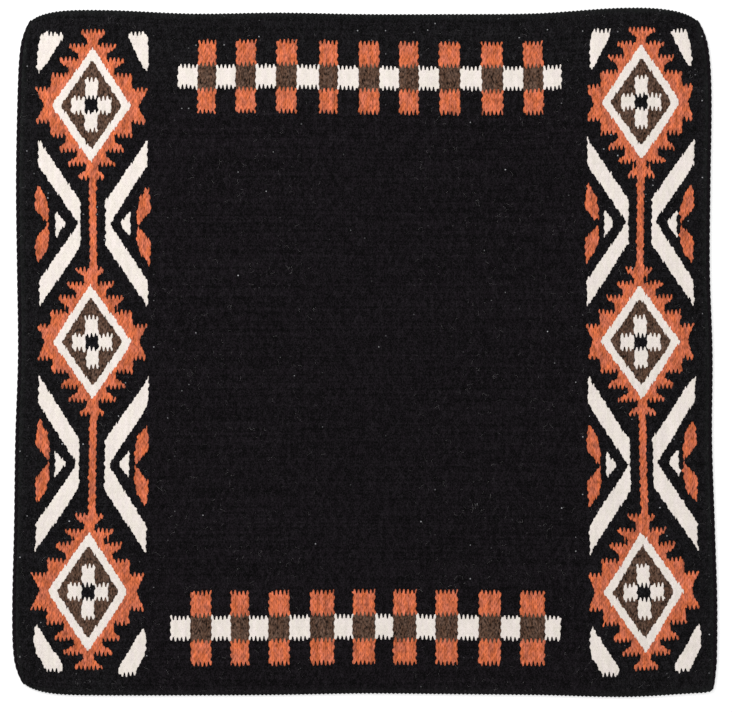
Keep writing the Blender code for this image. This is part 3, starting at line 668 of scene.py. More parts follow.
@functools.cache
def lattice():
    """One face of the cloth as a flat sheet of lattice cells, with all that the trees read."""
    cloth = bpy.context.scene.blanket_cloth
    wide, tall = cloth.width / cloth.passes, cloth.length / cloth.warps
    last_pass, last_warp = cloth.passes // 2 - cloth.cord_passes, cloth.warps // 2
    columns, rows = np.arange(-last_pass, last_pass + 1), np.arange(-last_warp, last_warp + 1)
    knots = np.stack(np.meshgrid(columns, rows, indexing="ij"), -1).reshape(-1, 2).astype(float)
    cells = np.stack(np.meshgrid(columns[:-1] + 0.5, rows[:-1] + 0.5, indexing="ij"),
                     -1).reshape(-1, 2)
    loom = np.concatenate([knots, cells])
    high = len(rows)
    corner = (np.arange(len(columns) - 1)[:, None] * high + np.arange(high - 1)).ravel()
    middle = len(knots) + np.arange(len(cells))
    round_cell = [corner, corner + high, corner + high + 1, corner + 1]
    triangles = np.stack([np.stack([middle, a, b], -1) for a, b in zip(
        round_cell, round_cell[1:] + round_cell[:1])], 1).reshape(-1, 3)
    even = knots.sum(1) % 2 == 0
    owner = np.where(even[triangles[:, 1]], triangles[:, 1], triangles[:, 2])
    rising = even[corner][:, None]
    first = np.stack([corner, corner + high + 1], -1)
    second = np.stack([corner + high, corner + 1], -1)
    radius = THICKNESS / 2
    across, up = loom[:, 0] * wide, loom[:, 1] * tall
    side_inset, side_turn = turned_under(
        last_pass * wide - np.abs(across), RIM_PASSES * wide, radius)
    end_inset, end_turn = turned_under(last_warp * tall - np.abs(up), RIM_WARPS * tall, radius)
    x, y = laid(np.sign(across) * (last_pass * wide - side_inset),
                np.sign(up) * (last_warp * tall - end_inset), cloth)
    lean = np.stack([np.sign(across) * np.cos(side_turn), np.sign(up) * np.cos(end_turn),
                     np.sin(side_turn) * np.sin(end_turn)], -1)
    lean[np.abs(lean) < 1e-9] = 0
    lean /= np.linalg.norm(lean, axis=1)[:, None]
    return {
        "loom": loom, "place": np.stack([x, y, np.zeros(len(x))], -1), "triangles": triangles,
        "owner": owner, "lean": lean, "rise": radius * np.sin(side_turn) * np.sin(end_turn),
        "floats": np.flatnonzero(even), "float_area": 2 * wide * tall, "middle": middle,
        "met": np.where(rising, first, second), "between": np.where(rising, second, first),
        "rim": (side_turn < QUARTER_TURN) | (end_turn < QUARTER_TURN),
        # How much the black near the rim is lightened by painted sheen and dust
        "wear": np.clip(1 - np.minimum(side_inset, end_inset) / RIM_SHEEN_AND_DUST_REACH, 0, 1) ** 2,
        "cell": np.array([wide, tall]),
    }


def outer_outline(node):
    """The outline of a CAD plate seen from above, holes left out."""
    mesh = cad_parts[node].data
    points = mesh_points(mesh)
    mesh.calc_loop_triangles()
    corners = np.empty(len(mesh.loop_triangles) * 3, np.int32)
    mesh.loop_triangles.foreach_get("vertices", corners)
    faces = corners.reshape(-1, 3)
    faces = faces[points[faces][:, :, 2].min(1) > points[:, 2].max() - FACE_TOLERANCE]
    keys = [tuple(p) for p in np.round(points[:, :2] * OUTLINE_STEPS).astype(int).tolist()]
    sides = {(keys[f[k]], keys[f[k - 2]]) for f in faces for k in range(3)}
    after = {a: b for a, b in sides if (b, a) not in sides}
    best, most = [], 0.0
    while after:
        start = here = next(iter(after))
        loop = []
        while here in after:
            loop.append(here)
            here = after.pop(here)
        ring = np.array(loop) / OUTLINE_STEPS
        ahead = np.roll(ring, -1, axis=0)
        area = (ring[:, 0] * ahead[:, 1] - ahead[:, 0] * ring[:, 1]).sum() / 2
        if here == start and area > most:
            best, most = ring, area
    return best


def inside(points, ring):
    """Which of the points lie in the ring."""
    ahead = np.roll(ring, -1, axis=0)
    x, y = points[:, :1], points[:, 1:]
    crossed = (ring[:, 1] > y) != (ahead[:, 1] > y)
    rise = ahead[:, 1] - ring[:, 1]
    meets = ring[:, 0] + (y - ring[:, 1]) * (ahead[:, 0] - ring[:, 0]) / np.where(rise, rise, 1)
    return (crossed & (x < meets)).sum(1) % 2 == 1


def motif_nodes():
    """The CAD plates of the motifs, each before those that lie inside it, with their wools."""
    found = []
    for half in HALVES:
        found.append((f"{half}_star_column", "terracotta"))
        for level in LEVELS:
            found += [(f"{half}_{level}_diamond_band", "cream"),
                      (f"{half}_{level}_diamond_core", "brown"), (f"{half}_{level}_cross", "cream")]
        for gap in GAPS:
            for way in WAYS:
                found += [(f"{half}_{gap}_{way}_chevron", "cream"),
                          (f"{half}_{gap}_{way}_triangle", "cream"),
                          (f"{half}_{gap}_{way}_lozenge_pair", "terracotta")]
        found += [(f"{half}_{end}_{way}_slash", "cream") for end in ENDS for way in WAYS]
    return found


def checker_squares(end, cloth):
    """The outlines of the squares of a checker band in the relaxed cloth, with their wools."""
    middle = cloth.length / 2 - CHECK_EDGE_MARGIN - 1.5 * CHECK_HEIGHT
    middle *= 1 if end == "top" else -1
    for column in range(CHECK_COLUMNS):
        left, right = (CHECK_WANDERS[end] + (line - CHECK_COLUMNS / 2) * CHECK_WIDTH
                       + CHECK_LINE_STRAY * CHECK_LINE_SHARES[end][line]
                       for line in (column, column + 1))
        wools = {0: "brown", -1: "terracotta", 1: "terracotta"} if column % 2 else {0: "cream"}
        for row, wool in wools.items():
            low, high = (middle + (row + line - 0.5) * CHECK_HEIGHT
                         + CHECK_ROW_STRAYS[end][row + 1 + line] for line in (0, 1))
            u = np.array([left, right, right, left])
            v = np.array([low, low, high, high]) + CHECK_TILTS[end] * u
            yield wool, np.stack(laid(u, v, cloth), -1)


@functools.cache
def outlines():
    """The name and outline of every colour area, each before those that lie inside it."""
    cloth = bpy.context.scene.blanket_cloth
    found = []
    for node, _ in motif_nodes():
        ring = outer_outline(node)
        found.append((node, ring))
        if node.endswith("_cross"):
            middle = (ring.min(0) + ring.max(0)) / 2
            reach = np.ptp(ring, axis=0) / (2 * CROSS_CELLS)
            corners = np.array([(-1, -1), (1, -1), (1, 1), (-1, 1)])
            found.append((node + "_centre", middle + corners * reach))
    for end in ENDS:
        found += [(f"{end}_{wool}_checks", ring) for wool, ring in checker_squares(end, cloth)]
    return found


def sharp_tips(ring):
    """The sharp corners of a ring, each with the direction that leads into it."""
    back, ahead = (np.roll(ring, way, axis=0) - ring for way in (1, -1))
    back /= np.linalg.norm(back, axis=1)[:, None]
    ahead /= np.linalg.norm(ahead, axis=1)[:, None]
    convex = ahead[:, 0] * back[:, 1] > ahead[:, 1] * back[:, 0]
    sharp = convex & ((back * ahead).sum(1) > TIP_SHARPNESS)
    inward = (back + ahead)[sharp]
    return zip(ring[sharp], inward / np.linalg.norm(inward, axis=1)[:, None])


@functools.cache
def float_owners():
    """Which outline each float lies in, counted from 1, with 0 for the ground.

    A sharp tip is narrower than a float, so one float in each row along it is taken in as well.
    """
    sheet = lattice()
    where = sheet["place"][sheet["floats"], :2]
    wide, tall = sheet["cell"]
    owners = np.zeros(len(where), int)
    for number, (name, ring) in enumerate(outlines(), 1):
        near = np.flatnonzero(((where > ring.min(0)) & (where < ring.max(0))).all(1))
        core = ring
        if name.endswith("_triangle"):
            core = ring.mean(0) + (ring - ring.mean(0)) * TRIANGLE_CORE_SHARE
        owners[near[inside(where[near], core)]] = number
        for tip, inward in sharp_tips(ring):
            deep = (where - tip) @ inward
            aside = np.abs((where - tip) @ (inward[1], -inward[0]))
            taken = (deep > TIP_DEPTHS[0] * tall) & (deep < TIP_DEPTHS[1] * tall) & (aside < wide)
            owners[taken & (owners == 0)] = number
    return owners


@functools.cache
def float_areas():
    """The name of the colour area of every float."""
    sheet, cloth = lattice(), bpy.context.scene.blanket_cloth
    pass_number = sheet["loom"][sheet["floats"], 0]
    ground = np.where(pass_number < 0, "left_ground", "right_ground").astype("<U40")
    ground[np.abs(pass_number) <= cloth.crease_passes] = "crease_ground"
    names = np.array([""] + [name for name, _ in outlines()])[float_owners()]
    return np.where(names == "", ground, names)


def onto(points, ring):
    """The nearest points of a ring, and the directions that lead into it there."""
    ahead = np.roll(ring, -1, axis=0) - ring
    run = np.maximum((ahead ** 2).sum(1), 1e-18)
    share = np.clip(((points[:, None] - ring) * ahead).sum(2) / run, 0, 1)
    there = ring + share[:, :, None] * ahead
    nearest = ((there - points[:, None]) ** 2).sum(2).argmin(1)
    along = ahead[nearest] / np.sqrt(run[nearest])[:, None]
    return there[np.arange(len(points)), nearest], np.stack([-along[:, 1], along[:, 0]], -1)


def straightness(cosine):
    """1 where an edge runs straight across or along, and 0 where it is slanted."""
    return np.clip((np.abs(cosine) - STRAIGHT_COSINE) / STRAIGHT_BLEND, 0, 1)


@functools.cache
def fitted():
    """The lattice with the edge of each colour area drawn onto its outline, and its teeth cut."""
    sheet, cloth = lattice(), bpy.context.scene.blanket_cloth
    place, total = sheet["place"][:, :2], len(sheet["place"])
    gains = np.array(cloth.tooth_gains)
    random = np.random.default_rng(EDGE_SEED)
    owner = np.zeros(total, int)
    owner[sheet["floats"]] = float_owners()
    pair = owner[sheet["met"]]
    edge = pair[:, 0] != pair[:, 1]
    first_check = len(motif_nodes()) + sum(n.endswith("_centre") for n, _ in outlines()) + 1
    shift, level, upright = np.zeros((total, 2)), np.zeros(total), np.zeros(total)
    notch, ragged = np.zeros((total, 2)), np.zeros(total)

    # The middles of the cells on each edge go onto the outline, and bulge and swell there.
    for number, (name, ring) in enumerate(outlines(), 1):
        cells = edge & (pair.max(1) == number)
        here = sheet["middle"][cells]
        if not len(here):
            continue
        there, inward = onto(place[here], ring)
        level[here], upright[here] = straightness(inward[:, 1]), straightness(inward[:, 0])
        ragged[here] = LOZENGE_RAGGEDNESS if name.endswith("_lozenge_pair") else RAGGEDNESS
        half_tooth = np.stack([upright[here], level[here]], -1) * gains * sheet["cell"] / 2
        outer = pair[cells].min(1) < first_check
        slanted = (1 - level[here]) * (1 - upright[here]) * cloth.scallop
        bulge = slanted + random.uniform(-1, 1, len(here)) * cloth.unevenness
        swell = np.sin(there @ LUMP_WAYS * math.tau / cloth.lump_length
                       + random.uniform(0, math.tau, 2)).mean(1) * cloth.lump_height
        swell *= 1 - LUMP_LEVEL_LOSS * level[here]
        swell *= np.where(outer, 1.0, LUMP_INNER_SHARE)
        bulge += swell * (LUMP_TRIANGLE_SHARE if name.endswith("_triangle") else 1)
        notch[here] = 2 * inward * slanted[:, None]
        shift[here] = there - place[here] + inward * (half_tooth * outer[:, None] - bulge[:, None])
    shift = np.clip(shift, -DRAW_LIMIT * sheet["cell"], DRAW_LIMIT * sheet["cell"])
    on_edge, knots = sheet["middle"][edge], sheet["between"][edge]
    odd = np.unique(knots)

    def mean_of(values, weight):
        """The mean of the values on the edge cells round each odd knot."""
        found = np.bincount(knots.ravel(), np.repeat((values * weight)[on_edge], 2), total)
        return (found / np.maximum(np.bincount(
            knots.ravel(), np.repeat(weight[on_edge], 2), total), 1e-9))[odd]

    # The knots between them follow, and keep the share of their tooth that the gains give.
    evenly = np.ones(total)
    weights = (OTHER_WAY_WEIGHT + upright, OTHER_WAY_WEIGHT + level)
    for k in (0, 1):
        tooth = place[odd, k] - mean_of(place[:, k], evenly)
        reach = mean_of((level, upright)[1 - k], evenly)
        bare = mean_of(ragged, evenly)
        gain = (bare + reach * (gains[k] - bare)) * random.uniform(
            1 - TOOTH_SPREAD, 1 + TOOTH_SPREAD, len(odd))
        aim = mean_of(place[:, k] + shift[:, k], weights[k])
        shift[odd, k] = aim + gain * tooth - place[odd, k] + mean_of(notch[:, k], evenly)

    # The rest of the cloth eases along, its rim stays, and no triangle is crowded.
    held = np.zeros(total, bool)
    held[on_edge] = held[odd] = True
    sides = np.unique(np.sort(sheet["triangles"][:, [0, 1, 1, 2, 2, 0]].reshape(-1, 2)), axis=0)
    ends, others = sides.ravel(), sides[:, ::-1].ravel()
    degree = np.bincount(ends, minlength=total)
    for _ in range(EASE_ROUNDS):
        mean = np.stack([np.bincount(ends, shift[others, k], total) for k in (0, 1)], -1)
        shift[~held] = (mean / degree[:, None])[~held]
    shift[sheet["rim"]] = 0
    for _ in range(RELAX_ROUNDS):
        a, b, c = ((place + shift)[sheet["triangles"][:, k]] for k in (0, 1, 2))
        area = (b - a)[:, 0] * (c - a)[:, 1] - (b - a)[:, 1] * (c - a)[:, 0]
        tight = sheet["triangles"][area < LEAST_TRIANGLE * sheet["cell"].prod()]
        if not len(tight):
            break
        shift[np.unique(tight)] *= RELAX_SHARE
    place = place + shift

    # Each side of a tooth gets a point between its ends, so that it bows.
    quarters = total + np.arange(2 * edge.sum()).reshape(-1, 2)
    bow = np.stack([BOW_ACROSS + BOW_UPRIGHT[0] * upright[on_edge],
                    BOW_ALONG + BOW_LEVEL * level[on_edge]
                    + BOW_UPRIGHT[1] * upright[on_edge]], -1)[:, None]
    bowed = place[knots] + (place[on_edge][:, None] - place[knots]) * bow
    place = np.concatenate([place, bowed.reshape(-1, 2)])

    def filled(name):
        values = sheet[name]
        added = (values[knots] + values[on_edge][:, None]) / 2
        return np.concatenate([values, added.reshape(-1, *values.shape[1:])])

    lean = filled("lean")
    plain = np.repeat(~edge, 4)
    cut = sheet["triangles"][~plain].reshape(-1, 4, 3)
    middle, a, b = (cut[..., k] for k in (0, 1, 2))
    a_odd = (a[..., None] == knots[:, None]).any(-1)
    joint = np.where(a_odd, a, b)
    quarter = np.where(joint == knots[:, :1], quarters[:, :1], quarters[:, 1:])
    inner = np.where(a_odd[..., None], np.stack([middle, quarter, b], -1),
                     np.stack([middle, a, quarter], -1))
    fine = np.concatenate([inner.reshape(-1, 3), np.stack([quarter, a, b], -1).reshape(-1, 3)])
    fine_owner = np.tile(sheet["owner"][~plain], 2)
    return {
        "place": np.pad(place, ((0, 0), (0, 1))), "loom": filled("loom"),
        "lean": lean / np.linalg.norm(lean, axis=1)[:, None], "rise": filled("rise"),
        "wear": filled("wear"),
        "triangles": np.concatenate([sheet["triangles"][plain], fine]),
        "owner": np.concatenate([sheet["owner"][plain], fine_owner]),
    }


def area_mesh(name):
    """The flat sheet of lattice cells of one colour area."""
    sheet = fitted()
    owned = np.zeros(len(sheet["loom"]), bool)
    owned[lattice()["floats"][float_areas() == name]] = True
    kept = owned[sheet["owner"]]
    used, faces = np.unique(sheet["triangles"][kept], return_inverse=True)
    mesh = bpy.data.meshes.new(name)
    mesh.from_pydata(sheet["place"][used].tolist(), [], faces.reshape(-1, 3).tolist(),
                     shade_flat=False)
    write_attribute(mesh, "loom", np.pad(sheet["loom"][used], ((0, 0), (0, 1))), "FLOAT_VECTOR")
    write_attribute(mesh, "lean", sheet["lean"][used], "FLOAT_VECTOR")
    write_attribute(mesh, "rise", sheet["rise"][used])
    write_attribute(mesh, "wear", sheet["wear"][used])
    write_attribute(mesh, "float_index", sheet["owner"][kept], "INT", "FACE")
    return mesh


def woven(name, wool):
    """The finished cloth of one colour area, top, underside and rim."""
    cloth = bpy.context.scene.blanket_cloth
    mesh = area_mesh(name)
    points = mesh_points(mesh)
    low, high = points.min(0), points.max(0)
    side = (high - low)[:2]
    tall = side[1] > side[0]
    scale = np.array([MAP_SHORT, MAP_LONG] if tall else [MAP_LONG, MAP_SHORT]) / side
    low[:2] -= MAP_MARGIN / scale
    return grown(name + "_weave", mesh, weave_tree(), {
        "Thickness": THICKNESS, "Relief": cloth.relief, "Fullness": cloth.fullness,
        "Low Corner": (float(low[0]), float(low[1]), 0.0),
        "Map Scale": (float(scale[0]), float(scale[1]), 0.0),
        "Underside Shift": (MAP_HALF, 0.0, 0.0) if tall else (0.0, MAP_HALF, 0.0)},
        wool_material(wool))


def new_material(name):
    """A material, its nodes, its shader and the place on the cloth that its patterns read."""
    material = bpy.data.materials.new(name)
    material.use_nodes = True
    nodes = Nodes(material.node_tree)
    place = nodes.add("ShaderNodeTexCoord", out="Object")
    return material, nodes, material.node_tree.nodes["Principled BSDF"], place


def bumped(nodes, height):
    """The fine relief of wool."""
    return nodes.add("ShaderNodeBump", None, {
        "Strength": BUMP_STRENGTH, "Distance": BUMP_HEIGHT, "Height": height})


def stretched(nodes, place, share):
    """The place on the cloth, for a pattern that is drawn out along the passes."""
    return nodes.vector("MULTIPLY", place, (1.0, share, 1.0))


def worn_black(nodes, place, fibre, paint):
    """Black wool with painted sheen and dust on the rim, a slightly faded border and pale specks."""
    east, north, _ = nodes.split(place)
    sheen_and_dust_patches = nodes.noise(place, SHEEN_AND_DUST_GRAIN, 3.0).smooth(-0.05, 0.25) * 0.45 + 0.45
    # Painted sheen, partly dust: the black turns lighter towards the rim.
    paint = nodes.mixed(nodes.read("wear") * sheen_and_dust_patches, paint, SHEEN_AND_DUST)
    faded = (abs(east) / FADE_X).larger(north / FADE_Y).smooth(0.85, 1.15)
    paint = nodes.vector("MULTIPLY", paint, nodes.mixed(faded, UNFADED, FADED))
    speck = nodes.add("ShaderNodeTexVoronoi", {"voronoi_dimensions": "2D"},
                      {"Vector": place, "Scale": SPECK_CELLS})
    chance = nodes.add("ShaderNodeSeparateColor", None, {0: nodes.other(speck, "Color")})
    bright = nodes.other(chance, 1) ** 2 + SPECK_LEAST
    chosen = chance.over(SPECK_RARITY - faded * SPECK_FADED_GAIN) * bright
    reach = speck / SPECK_CELLS + fibre * 0.0012
    return nodes.mixed((1 - reach.smooth(SPECK_CORE, SPECK_EDGE)) * chosen, paint, SPECK)


@functools.cache
def wool_material(wool):
    """Weft-faced wool: a tone for each float, painted shade in the slits between floats, fibre and
    ply.
    """
    look = WOOL_LOOKS[wool]
    colour = getattr(bpy.context.scene.blanket_wools, wool)
    material, nodes, shader, place = new_material(f"{wool} wool weave")
    material.diffuse_color = (*colour, 1.0)
    across, along, _ = nodes.split(nodes.read("loom", "Vector"))
    east, north, _ = nodes.split(place)
    wobble = nodes.noise(place, WOBBLE_GRAIN, 0.0)
    slit_shade = slit_depth(across + wobble * SEAM_WOBBLE[0], along + wobble * SEAM_WOBBLE[1])
    slit_shade = slit_shade.smooth(SLIT_SHADE_FLOOR, look["crown"])
    fibre = nodes.noise(stretched(nodes, place, 0.16), FIBRE_GRAIN)
    column, row = (nodes.noise(nodes.joined(across * pace[0], along * pace[1]), 1.0, 0.0)
                   for pace in (COLUMN_PACE, ROW_PACE))
    slanted = nodes.joined(east - north * STRAND_SLANT, north * STRAND_STRETCH)
    parts = {
        "tone": nodes.read("tone") - 0.5, "column": column, "row": row, "fibre": fibre,
        "fleck": nodes.noise(stretched(nodes, place, look["upright"]), look["grain"], 1.0),
        "strand": nodes.noise(slanted, STRAND_GRAIN, 1.0),
    }
    level = 1 + nodes.noise(place, CLOUD_GRAIN) * CLOUD_SHARE
    for part, value in parts.items():
        level = level + value * look[part]
    # Painted shade: the colour is darkened in the slits between floats, where shade would fall.
    level = (level * (1 - look["slit_shade"] * (1 - slit_shade))).larger(LEAST_LEVEL)
    heather = nodes.noise(stretched(nodes, place, 0.35), HEATHER_GRAIN, 3.0)
    heather = heather.smooth(-HEATHER_BLEND, HEATHER_BLEND)
    paint = nodes.scaled(nodes.mixed(heather, (*colour, 1.0), (*look["second"], 1.0)), level)
    if wool == "black":
        paint = worn_black(nodes, place, fibre, paint)
    ply = (across * 5.0 + along * 9.0 + fibre * 3.0).sine()
    nodes.fill(shader, {
        "Base Color": paint, "Normal": bumped(nodes, fibre * 1.2 + ply * 0.16 + slit_shade * 0.5),
        "Roughness": WOOL_ROUGHNESS, "Metallic": 0.0, "Specular IOR Level": WOOL_SHINE,
        "Sheen Weight": look["sheen"], "Sheen Roughness": WOOL_SHEEN_ROUGHNESS})
    return material


@functools.cache
def cord_material():
    """Black wool of the end cords, ribbed by its own plies."""
    material, nodes, shader, place = new_material("black wool cord")
    number, run, _ = nodes.split(nodes.read("loom", "Vector"))
    fibre = nodes.noise(stretched(nodes, place, 0.3), CORD_GRAIN)
    cloud = nodes.noise(nodes.joined(number * 3.1, run * 1.7))
    level = (1.25 + fibre * 0.6 + cloud * 0.7).larger(0.1)
    nodes.fill(shader, {
        "Base Color": nodes.scaled(tuple(bpy.context.scene.blanket_wools.black), level),
        "Normal": bumped(nodes, fibre), "Roughness": WOOL_ROUGHNESS,
        "Specular IOR Level": WOOL_SHINE, "Sheen Weight": CORD_SHEEN})
    return material


@functools.cache
def fibre_material():
    """Pale grey loose wool fibres."""
    material, nodes, shader, place = new_material("loose wool fibres")
    mottle = nodes.noise(place, MOTTLE_GRAIN).smooth(-0.15, 0.20)
    nodes.fill(shader, {
        "Base Color": nodes.mixed(mottle, DARK_FIBRE, PALE_FIBRE),
        "Roughness": FIBRE_ROUGHNESS, "Specular IOR Level": FIBRE_SHINE})
    return material


def dressed(piece, wool, half, *stood_for):
    """Hides the CAD parts that a piece replaces and hangs the piece on its half. One that crosses
    the crease stays fixed, its place baked into its mesh.
    """
    if stood_for:
        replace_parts(piece, *stood_for)
    if half in HALVES:
        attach(piece, f"{half}_half")
    else:
        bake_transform(piece)


def woven_motifs(kinds):
    """Weaves the motifs of these kinds in both halves."""
    for node, wool in motif_nodes():
        if node.endswith(kinds):
            half = node.split("_")[0]
            dressed(woven(node, wool), wool, half, node)
            if node.endswith("_cross"):
                dressed(woven(node + "_centre", "black"), "black", half, node)


class BLANKET_OT_ground(bpy.types.Operator):
    """Weave the black ground of both halves and the strip at the crease"""

    bl_idname = "blanket.ground"
    bl_label = "Weave Ground"

    def execute(self, context):
        for half in HALVES:
            dressed(woven(f"{half}_ground", "black"), "black", half, f"{half}_ground")
        dressed(woven("crease_ground", "black"), "black", "both", "left_ground", "right_ground")
        return {"FINISHED"}


class BLANKET_OT_star_columns(bpy.types.Operator):
    """Weave the terracotta columns of stepped starbursts"""

    bl_idname = "blanket.star_columns"
    bl_label = "Weave Star Columns"

    def execute(self, context):
        woven_motifs(("_star_column",))
        return {"FINISHED"}


class BLANKET_OT_diamonds(bpy.types.Operator):
    """Weave the cream bands, brown cores and crosses inside the starbursts"""

    bl_idname = "blanket.diamonds"
    bl_label = "Weave Diamonds"

    def execute(self, context):
        woven_motifs(("_diamond_band", "_diamond_core", "_cross"))
        return {"FINISHED"}


class BLANKET_OT_chevrons(bpy.types.Operator):
    """Weave the chevrons, triangles and lozenge pairs beside the stems"""

    bl_idname = "blanket.chevrons"
    bl_label = "Weave Chevrons"

    def execute(self, context):
        woven_motifs(("_chevron", "_triangle", "_lozenge_pair"))
        return {"FINISHED"}


class BLANKET_OT_slashes(bpy.types.Operator):
    """Weave the slanted strokes in the corners of the panels"""

    bl_idname = "blanket.slashes"
    bl_label = "Weave Slashes"

    def execute(self, context):
        woven_motifs(("_slash",))
        return {"FINISHED"}


class BLANKET_OT_checker_bands(bpy.types.Operator):
    """Weave the three wools of the two checker bands, which cross the crease"""

    bl_idname = "blanket.checker_bands"
    bl_label = "Weave Checker Bands"

    def execute(self, context):
        for end in ENDS:
            for wool in ("cream", "brown", "terracotta"):
                dressed(woven(f"{end}_{wool}_checks", wool), wool, "both",
                        f"left_{end}_checker_band", f"right_{end}_checker_band")
        return {"FINISHED"}


class BLANKET_OT_end_cords(bpy.types.Operator):
    """Twist the cords that close the warp at the two ends"""

    bl_idname = "blanket.end_cords"
    bl_label = "Twist End Cords"

    def execute(self, context):
        cloth, cord = context.scene.blanket_cloth, context.scene.blanket_cord
        radius = THICKNESS / 2
        up = np.linspace(-cloth.length / 2 + radius, cloth.length / 2 - radius, CORD_POINTS)
        taper = np.clip((cloth.length / 2 - np.abs(up)) / cord.taper_length, 0, 1)
        taper = taper ** CORD_TAPER_POWER
        inward = cord.inset + (1 - taper) * radius
        for half, side in zip(HALVES, (-1, 1)):
            x, y = laid(side * (cloth.width / 2 - inward), up, cloth)
            mesh = bpy.data.meshes.new(f"{half}_end_cord_path")
            mesh.from_pydata([(a, b, radius) for a, b in zip(x.tolist(), y.tolist())],
                             [(k, k + 1) for k in range(len(up) - 1)], [])
            write_attribute(mesh, "taper", CORD_THIN_SHARE + (1 - CORD_THIN_SHARE) * taper)
            piece = grown(f"{half}_end_cord_strands", mesh, cord_tree(), {
                "Strands": cord.strands, "Strand Radius": cord.strand_radius,
                "Cord Radius": radius, "Lay Length": cord.lay_length}, cord_material())
            dressed(piece, "black", half, f"{half}_end_cord")
        return {"FINISHED"}


class BLANKET_OT_nap(bpy.types.Operator):
    """Scatter loose fibres over the ground"""

    bl_idname = "blanket.nap"
    bl_label = "Scatter Fibres"

    def execute(self, context):
        nap = context.scene.blanket_nap
        low, high = np.array(CAD_BOX[0]) + NAP_INSET, np.array(CAD_BOX[1]) - NAP_INSET
        low[2], high[2] = THICKNESS - NAP_DEPTH, THICKNESS + NAP_HEIGHT
        for half, seed in NAP_SEEDS.items():
            carrier = bpy.data.objects[f"{half}_ground_weave"]
            piece = grown(f"{half}_ground_nap", carrier.data.copy(), nap_tree(), {
                "Density": nap.density, "Fibre Length": nap.length, "Fibre Radius": nap.radius,
                "Low Limit": tuple(low.tolist()), "High Limit": tuple(high.tolist()),
                "Seed": seed}, fibre_material())
            dressed(piece, "black", half)
        return {"FINISHED"}


class BLANKET_OT_declare_cloth(bpy.types.Operator):
    bl_idname = "blanket.declare_cloth"
    bl_label = "Declare Cloth"

    def execute(self, context):
        area, float_area = float_areas(), lattice()["float_area"]
        others = [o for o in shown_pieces() if "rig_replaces" in o and "_ground_weave" not in o.name]
        for part, sign in (("left", "left"), ("crease", "checks"), ("right", "right")):
            piece = bpy.data.objects[f"{part}_ground_weave"]
            low, high = (np.array(c) for c in (piece.bound_box[0], piece.bound_box[6]))
            float((area == f"{part}_ground").sum() * float_area)
            [o for o in others if sign in o.name]
        return {"FINISHED"}


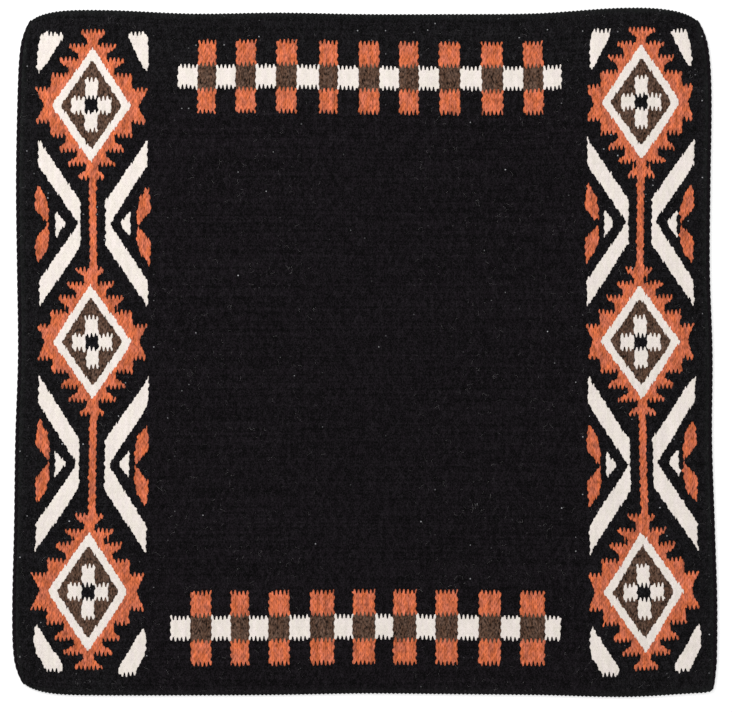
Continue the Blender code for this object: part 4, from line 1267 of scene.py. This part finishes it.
class BLANKET_OT_stage(bpy.types.Operator):
    """Lay a pale floor and set soft studio light and a camera straight above"""

    bl_idname = "blanket.stage"
    bl_label = "Set Stage"

    def execute(self, context):
        scene, stage = context.scene, context.scene.blanket_stage
        mesh = bpy.data.meshes.new("floor")
        corners = [(-1, -1), (1, -1), (1, 1), (-1, 1)]
        mesh.from_pydata([(FLOOR_REACH * x, FLOOR_REACH * y, -FLOOR_DROP) for x, y in corners],
                         [], [(0, 1, 2, 3)])
        floor = bpy.data.objects.new("floor", mesh)
        scene.collection.objects.link(floor)
        floor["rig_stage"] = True
        material = bpy.data.materials.new("pale floor")
        material.use_nodes = True
        nodes, tree = Nodes(material.node_tree), material.node_tree
        tree.nodes.remove(tree.nodes["Principled BSDF"])
        seen = nodes.add("ShaderNodeLightPath", out="Is Camera Ray")
        glow = nodes.add("ShaderNodeEmission", None,
                         {"Color": WHITE, "Strength": seen * FLOOR_GLOW})
        matt = nodes.add("ShaderNodeBsdfDiffuse", None, {"Color": FLOOR_GREY})
        both = nodes.add("ShaderNodeAddShader", None, {0: glow, 1: matt})
        nodes.fill(tree.nodes["Material Output"], {"Surface": both})
        mesh.materials.append(material)
        scene.world = scene.world or bpy.data.worlds.new("studio")
        scene.world.use_nodes = True
        nodes = Nodes(scene.world.node_tree)
        path = nodes.add("ShaderNodeLightPath", out="Is Camera Ray")
        shown = path.larger(nodes.other(path, "Is Glossy Ray")).larger(
            nodes.other(path, "Is Transmission Ray"))
        nodes.fill(nodes.tree.nodes["Background"], {
            "Color": WHITE, "Strength": shown * (1 - stage.sky) + stage.sky})
        lamp = bpy.data.objects.new("softbox", bpy.data.lights.new("softbox", "AREA"))
        lamp.data.shape, lamp.data.size = "DISK", LAMP_WIDTH
        lamp.data.energy = stage.lamp_power
        lamp.location = LAMP_PLACE
        lamp.rotation_euler = (-lamp.location).to_track_quat("-Z", "Y").to_euler()
        scene.collection.objects.link(lamp)
        camera = bpy.data.objects.new("camera", bpy.data.cameras.new("camera"))
        camera.data.lens, camera.data.sensor_width = stage.lens, SENSOR_WIDTH
        camera.location = (stage.aim_x, stage.aim_y,
                           stage.frame_width * stage.lens / SENSOR_WIDTH + THICKNESS)
        scene.collection.objects.link(camera)
        scene.camera = camera
        scene.view_settings.view_transform = "Standard"
        return {"FINISHED"}


class BLANKET_PT_panel(bpy.types.Panel):
    """Steps and settings of the saddle blanket"""

    bl_idname = "BLANKET_PT_panel"
    bl_label = "Saddle Blanket"
    bl_space_type = "VIEW_3D"
    bl_region_type = "UI"
    bl_category = "Blanket"

    def draw(self, context):
        for title in GROUPS:
            settings = getattr(context.scene, title)
            box = self.layout.box()
            for name in settings.__annotations__:
                box.prop(settings, name)
        for step in STEPS:
            self.layout.operator(step.bl_idname)


GROUPS = {
    "blanket_cloth": BlanketCloth,
    "blanket_cord": BlanketCord,
    "blanket_wools": BlanketWools,
    "blanket_nap": BlanketNap,
    "blanket_stage": BlanketStage,
}
STEPS = (
    BLANKET_OT_stage,
    BLANKET_OT_ground,
    BLANKET_OT_star_columns,
    BLANKET_OT_diamonds,
    BLANKET_OT_chevrons,
    BLANKET_OT_slashes,
    BLANKET_OT_checker_bands,
    BLANKET_OT_end_cords,
    BLANKET_OT_nap,
    BLANKET_OT_declare_cloth,
)


def register():
    for kind in (*GROUPS.values(), *STEPS, BLANKET_PT_panel):
        bpy.utils.register_class(kind)
    for name, kind in GROUPS.items():
        setattr(bpy.types.Scene, name, PointerProperty(type=kind))


def unregister():
    for name in GROUPS:
        delattr(bpy.types.Scene, name)
    for kind in reversed((*GROUPS.values(), *STEPS, BLANKET_PT_panel)):
        bpy.utils.unregister_class(kind)


def main():
    register()
    for step in STEPS:
        space, name = step.bl_idname.split(".")
        getattr(getattr(bpy.ops, space), name)()
    boxes = {"cad": CAD_BOX, "visual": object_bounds()}
    {key: [list(corner) for corner in box] for key, box in boxes.items()}


if __name__ == "__main__":
    main()
